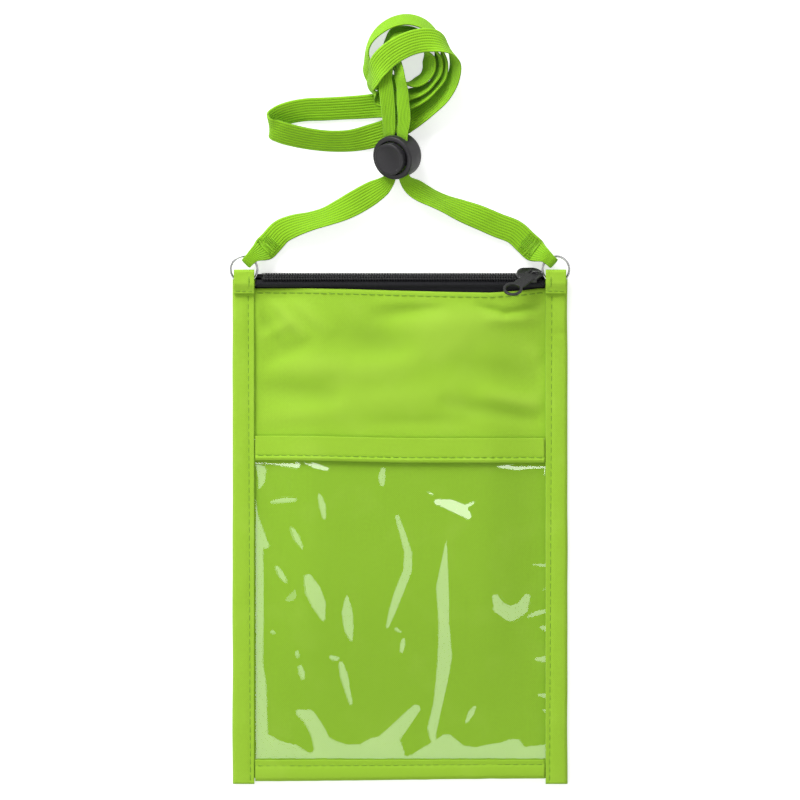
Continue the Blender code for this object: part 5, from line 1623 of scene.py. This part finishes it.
def make_pull():
    """The pull tab: a box end round the crown, a tapering neck and an open ring end."""
    pivot = Matrix.Translation((CROWN_PLACE, 0.0, PLATE_TOP + PULL_GAP + PULL_BAR / 2))
    turn = Matrix.Rotation(PULL_TURN, 4, "Z")
    curve = bpy.data.curves.new("pull_outline", "CURVE")
    curve.dimensions = "2D"
    curve.fill_mode = "BOTH"
    inset = PULL_EDGE
    curve.extrude = PULL_THICKNESS / 2 - inset
    curve.bevel_depth = inset
    curve.bevel_resolution = 3
    wide, neck, ring = PULL_WIDTH / 2 - inset, PULL_NECK / 2 - inset, PULL_RING_RADIUS - inset
    outline = [(-0.0003 + inset, -wide + 0.0007), (0.0004, -wide), (PULL_EYE, -wide)]
    outline += [(PULL_EYE + 0.0007, -wide + 0.0004), (PULL_EYE + 0.0018, -neck)]
    meet = math.asin(neck / ring)
    outline += arc_points(ring, -math.pi + meet, math.pi - meet, 41)
    outline += [(x, -y) for x, y in outline[4::-1]]
    near, far, side = 0.0003 + inset, PULL_EYE - inset, PULL_EYE_WIDTH / 2 - inset
    eye = [(near, -side), (near, side), (far, side), (far, -side)]
    ring_hole = arc_points(PULL_HOLE_RADIUS + inset, 0, math.tau, 49)[:-1]
    for loop in (outline, eye, ring_hole):
        spline = curve.splines.new("POLY")
        spline.points.add(len(loop) - 1)
        for point, (x, y) in zip(spline.points, loop):
            point.co = (x, y, 0.0, 1.0)
        spline.use_cyclic_u = True
    shape = add_object("pull_outline", curve)
    mesh = final_mesh(shape)
    bpy.data.objects.remove(shape)
    mesh.name = "pull_plate"
    mesh.transform(chain_frame(SLIDER_REST) @ pivot @ turn)
    shade_by_angle(mesh, 35)
    link("pull_plate", mesh, enamel_material(), "pull", ["slider_pull"])


# ---------------------------------------------------------------- cord lock


def lock_frame():
    """Local Z out of the cord lock's front, local Y along its cord hole."""
    way = (LOCK_CORD_WAY - LOCK_AXIS * LOCK_CORD_WAY.dot(LOCK_AXIS)).normalized()
    across = way.cross(LOCK_AXIS)
    turn = Matrix((across, way, LOCK_AXIS)).transposed().to_4x4()
    return Matrix.Translation(LOCK_PLACE) @ turn


def rounded(profile, corners, steps=6):
    """A profile of radius and height with chosen corners rounded: corner number to radius."""
    out = []
    for number, point in enumerate(profile):
        radius = corners.get(number)
        if not radius:
            out.append(point)
            continue
        here = Vector(point)
        before, after = Vector(profile[number - 1]) - here, Vector(profile[number + 1]) - here
        first, last = here + before.normalized() * radius, here + after.normalized() * radius
        for step in range(steps + 1):
            t = step / steps
            place = first * (1 - t) ** 2 + here * 2 * t * (1 - t) + last * t * t
            out.append((place.x, place.y))
    return out


def cut_cord_hole(item, depth, corner, transform):
    """Cut the cord's flat hole through a piece of the lock, and keep the result in its mesh."""
    wide, length, low = CORD_HOLE
    bm = bmesh.new()
    box_into(bm, (-wide, -length, -low), (wide, length, depth), corner, 4)
    bm.transform(transform)
    cutter = add_object("cutter", mesh_from(bm, "cutter"))
    modifier = item.modifiers.new("Cord hole", "BOOLEAN")
    modifier.operation = "DIFFERENCE"
    modifier.solver = "EXACT"
    modifier.object = cutter
    result = final_mesh(item)
    item.modifiers.clear()
    item.data = result
    bpy.data.objects.remove(cutter)
    shade_by_angle(result, 35)


def make_lock():
    """The domed barrel with its rim and bore, and the sprung plunger with a dished face."""
    transform = lock_frame()
    foot, radius = LOCK_FOOT_RADIUS, LOCK_RADIUS
    profile = [(0.0, LOCK_BACK), (foot, LOCK_BACK), (foot, LOCK_FLOOR), (LOCK_BORE, LOCK_FLOOR)]
    profile += [(LOCK_BORE, LOCK_FRONT), (radius - 0.0001, LOCK_FRONT), (radius, LOCK_DOME)]
    profile = rounded(profile, {4: 0.00045, 5: 0.00095})
    for step in range(1, 17):
        angle = math.pi / 2 * step / 16
        reach = radius * math.cos(angle) if step < 16 else 0.0
        profile.append((reach, LOCK_DOME - LOCK_DOME_DEPTH * math.sin(angle)))
    look = (transform, lock_material(), "black_plastic")
    barrel = turned("lock_barrel", profile, 96, *look, "pouch", ["toggle_barrel"])
    cut_cord_hole(barrel, CORD_HOLE[2], 0.0009, transform)
    face, radius = PLUNGER_FACE, PLUNGER_RADIUS
    profile = [(0.0, PLUNGER_BACK), (radius, PLUNGER_BACK), (radius, face), (0.0050, face)]
    profile += [(0.0046, face - 0.00018), (0.0, face - 0.00024)]
    profile = rounded(profile, {2: 0.00055, 3: 0.00018})
    button = turned("lock_button", profile, 96, *look, "button", ["toggle_button"])
    cut_cord_hole(button, CORD_HOLE[2] + PLUNGER_TRAVEL, 0.0004, transform)
    make_spring(transform)


def make_spring(transform):
    """The conical spring between the barrel's floor and the plunger."""
    top, bottom = PLUNGER_BACK - SPRING_INSET, LOCK_BACK + SPRING_INSET
    narrow, wide = SPRING_RADII
    path = []
    for share in np.linspace(0, 1, SPRING_TURNS * 28 + 1):
        angle = math.tau * SPRING_TURNS * share
        reach = narrow + (wide - narrow) * share
        height = top + (bottom - top) * share
        path.append(transform @ Vector((reach * math.cos(angle), reach * math.sin(angle), height)))
    wire = [(path, SPRING_WIRE, 10)]
    spring = tubes("lock_spring", wire, wire_material(), "pouch", ["toggle_spring"])
    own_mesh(spring)


# ---------------------------------------------------------------- stage


def make_camera():
    """A camera straight above, so far away that the wallet shows without perspective."""
    data = bpy.data.cameras.new("Camera")
    camera = add_object("Camera", data)
    data.sensor_width = 36.0
    data.lens = data.sensor_width * (CAMERA_HEIGHT - VIEW_LEVEL) / VIEW_WIDTH
    data.clip_start, data.clip_end = 0.1, 30.0
    camera.location = (0.0, VIEW_MIDDLE, CAMERA_HEIGHT)
    bpy.context.scene.camera = camera


def make_lamp(name, tilt, bearing, distance, size, radiance):
    """A soft square lamp that shines at the wallet; tilt is its angle from straight above."""
    data = bpy.data.lights.new(name, "AREA")
    data.shape = "RECTANGLE"
    data.size, data.size_y = size
    data.energy = radiance * size[0] * size[1] * math.pi
    lamp = add_object(name, data)
    tilt, bearing = math.radians(tilt), math.radians(bearing)
    flat = math.sin(tilt)
    way = Vector((flat * math.cos(bearing), flat * math.sin(bearing), math.cos(tilt)))
    lamp.location = Vector((0.0, 0.0, 0.005)) + way * distance
    lamp.rotation_mode = "QUATERNION"
    lamp.rotation_quaternion = way.to_track_quat("Z", "Y")


def seen_directly(tree):
    """Light Path's outputs, and 1 for rays from the camera and through the vinyl."""
    path = node(tree, "ShaderNodeLightPath").outputs
    return path, sums(tree, "MAXIMUM", path["Is Camera Ray"], path["Is Transmission Ray"])


def make_world():
    """White to the eye and dimmer as a light; gloss shows a bright band round a dark zenith."""
    world = bpy.data.worlds.new("Studio")
    bpy.context.scene.world = world
    world.use_nodes = True
    tree = world.node_tree
    back = tree.nodes["Background"]
    back.inputs["Color"].default_value = (1.0, 1.0, 1.0, 1.0)
    path, seen = seen_directly(tree)
    way = node(tree, "ShaderNodeTexCoord").outputs["Generated"]
    height = node(tree, "ShaderNodeSeparateXYZ", {0: way}).outputs[2]
    overhead = remap(tree, height, 0.84, 0.90, 2.3, 0.06)
    overhead = sums(tree, "MINIMUM", overhead, remap(tree, height, 0.30, 0.55, 0.8, 2.2))
    change = sums(tree, "SUBTRACT", overhead, AMBIENT)
    glossy = sums(tree, "MULTIPLY", path["Is Glossy Ray"], change)
    level = sums(tree, "ADD", glossy, AMBIENT)
    strength = node(tree, "ShaderNodeMix", {0: seen, 2: level, 3: 1.0}, data_type="FLOAT")
    tree.links.new(strength.outputs[0], back.inputs["Strength"])


def make_floor():
    """A wide pale floor whose white is its own, and which keeps the wallet's soft shadow."""
    bm = bmesh.new()
    bmesh.ops.create_grid(bm, x_segments=2, y_segments=2, size=3.0)
    mesh = mesh_from(bm, "floor")
    floor = add_object("floor", mesh)
    floor.location.z = -0.0002
    material, tree, shader = new_material("Pale floor")
    mesh.materials.append(material)
    where = node(tree, "ShaderNodeTexCoord").outputs["Object"]
    tone = remap(tree, noise_of(tree, where, 6.0), 0.3, 0.7, 0.80, 0.83)
    grey = node(tree, "ShaderNodeCombineColor", {0: tone, 1: tone, 2: tone}).outputs[0]
    path, seen = seen_directly(tree)
    seen = sums(tree, "MAXIMUM", seen, path["Is Glossy Ray"])
    feed(tree, shader, {"Base Color": grey, "Roughness": 0.9, "Specular IOR Level": 0.1})
    glow = sums(tree, "MULTIPLY", seen, FLOOR_GLOW)
    feed(tree, shader, {"Emission Color": (1.0, 1.0, 1.0, 1.0), "Emission Strength": glow})
    below = node(tree, "ShaderNodeNewGeometry").outputs["Backfacing"]
    below = sums(tree, "MULTIPLY", below, path["Is Camera Ray"])
    clear = node(tree, "ShaderNodeBsdfTransparent")
    part_clear(tree, below, shader, clear)


# ---------------------------------------------------------------- operators


class WALLET_OT_stage(bpy.types.Operator):
    """Set the camera straight above, the pale floor, the world and two soft lamps"""

    bl_idname = "wallet.stage"
    bl_label = "Studio"

    def execute(self, context):
        context.scene.view_settings.view_transform = "Standard"
        make_camera()
        make_world()
        make_floor()
        make_lamp("Top lamp", 60.0, 112.0, 0.9, (0.52, 0.52), 7.7)
        make_lamp("Fill lamp", 35.0, 222.0, 0.9, (0.40, 0.40), 2.5)
        return {"FINISHED"}


class WALLET_OT_lanyard(bpy.types.Operator):
    """Wind the knitted lanyard from ring to ring"""

    bl_idname = "wallet.lanyard"
    bl_label = "Lanyard"

    def execute(self, context):
        make_lanyard()
        make_tacks()
        return {"FINISHED"}


class WALLET_OT_lock(bpy.types.Operator):
    """Turn the cord lock's barrel and plunger, and wind its spring"""

    bl_idname = "wallet.lock"
    bl_label = "Cord lock"

    def execute(self, context):
        make_lock()
        return {"FINISHED"}


class WALLET_OT_panels(bpy.types.Operator):
    """Cut the back cloth and the hemmed front cloth"""

    bl_idname = "wallet.panels"
    bl_label = "Cloth panels"

    def execute(self, context):
        make_back()
        make_front()
        return {"FINISHED"}


class WALLET_OT_pocket(bpy.types.Operator):
    """Lay the clear vinyl pocket and sew the strip across its mouth"""

    bl_idname = "wallet.pocket"
    bl_label = "Clear pocket"

    def execute(self, context):
        make_pocket()
        make_header()
        return {"FINISHED"}


class WALLET_OT_bindings(bpy.types.Operator):
    """Fold the cloth bindings round the bottom and the sides"""

    bl_idname = "wallet.bindings"
    bl_label = "Bindings"

    def execute(self, context):
        make_bottom_edge()
        make_side_edge("left_edge", -1, "left_binding")
        make_side_edge("right_edge", 1, "right_binding")
        return {"FINISHED"}


class WALLET_OT_rings(bpy.types.Operator):
    """Fold the corner tabs and bend the two wire rings"""

    bl_idname = "wallet.rings"
    bl_label = "Tabs and rings"

    def execute(self, context):
        make_tab("left_tab_loop", -1, "left_tab")
        make_tab("right_tab_loop", 1, "right_tab")
        make_ring("left_wire_ring", -1, "left_ring")
        make_ring("right_wire_ring", 1, "right_ring")
        return {"FINISHED"}


class WALLET_OT_zipper(bpy.types.Operator):
    """Weave the zipper's tapes and wind its two coils"""

    bl_idname = "wallet.zipper"
    bl_label = "Zipper"

    def execute(self, context):
        make_tapes()
        make_teeth("front_teeth", -1, 0.0, "zipper_front_coil")
        make_teeth("back_teeth", 1, 0.5, "zipper_back_coil")
        return {"FINISHED"}


class WALLET_OT_slider(bpy.types.Operator):
    """Cast the slider and its pull tab"""

    bl_idname = "wallet.slider"
    bl_label = "Slider and pull"

    def execute(self, context):
        make_slider()
        make_pull()
        return {"FINISHED"}


class WALLET_OT_soft(bpy.types.Operator):
    """An empty step: it changes nothing"""

    bl_idname = "wallet.soft"
    bl_label = "Soft sizes"

    def execute(self, context):
        return {"FINISHED"}


OPERATORS = (
    WALLET_OT_stage,
    WALLET_OT_lanyard,
    WALLET_OT_lock,
    WALLET_OT_panels,
    WALLET_OT_pocket,
    WALLET_OT_bindings,
    WALLET_OT_rings,
    WALLET_OT_zipper,
    WALLET_OT_slider,
    WALLET_OT_soft,
)


class WALLET_PT_sidebar(bpy.types.Panel):
    """The wallet's sizes, colours and making steps"""

    bl_label = "Neck wallet"
    bl_idname = "WALLET_PT_sidebar"
    bl_space_type = "VIEW_3D"
    bl_region_type = "UI"
    bl_category = "Wallet"

    def draw(self, context):
        column = self.layout.column()
        for name in WalletSettings.__annotations__:
            column.prop(context.scene.neck_wallet, name)
        for operator in OPERATORS:
            column.operator(operator.bl_idname)


def register():
    for kind in (WalletSettings, *OPERATORS, WALLET_PT_sidebar):
        bpy.utils.register_class(kind)
    bpy.types.Scene.neck_wallet = PointerProperty(type=WalletSettings)


def unregister():
    del bpy.types.Scene.neck_wallet
    for kind in (WALLET_PT_sidebar, *OPERATORS[::-1], WalletSettings):
        bpy.utils.unregister_class(kind)


def main():
    register()
    for operator in OPERATORS:
        group, name = operator.bl_idname.split(".")
        getattr(getattr(bpy.ops, group), name)()


if __name__ == "__main__":
    main()
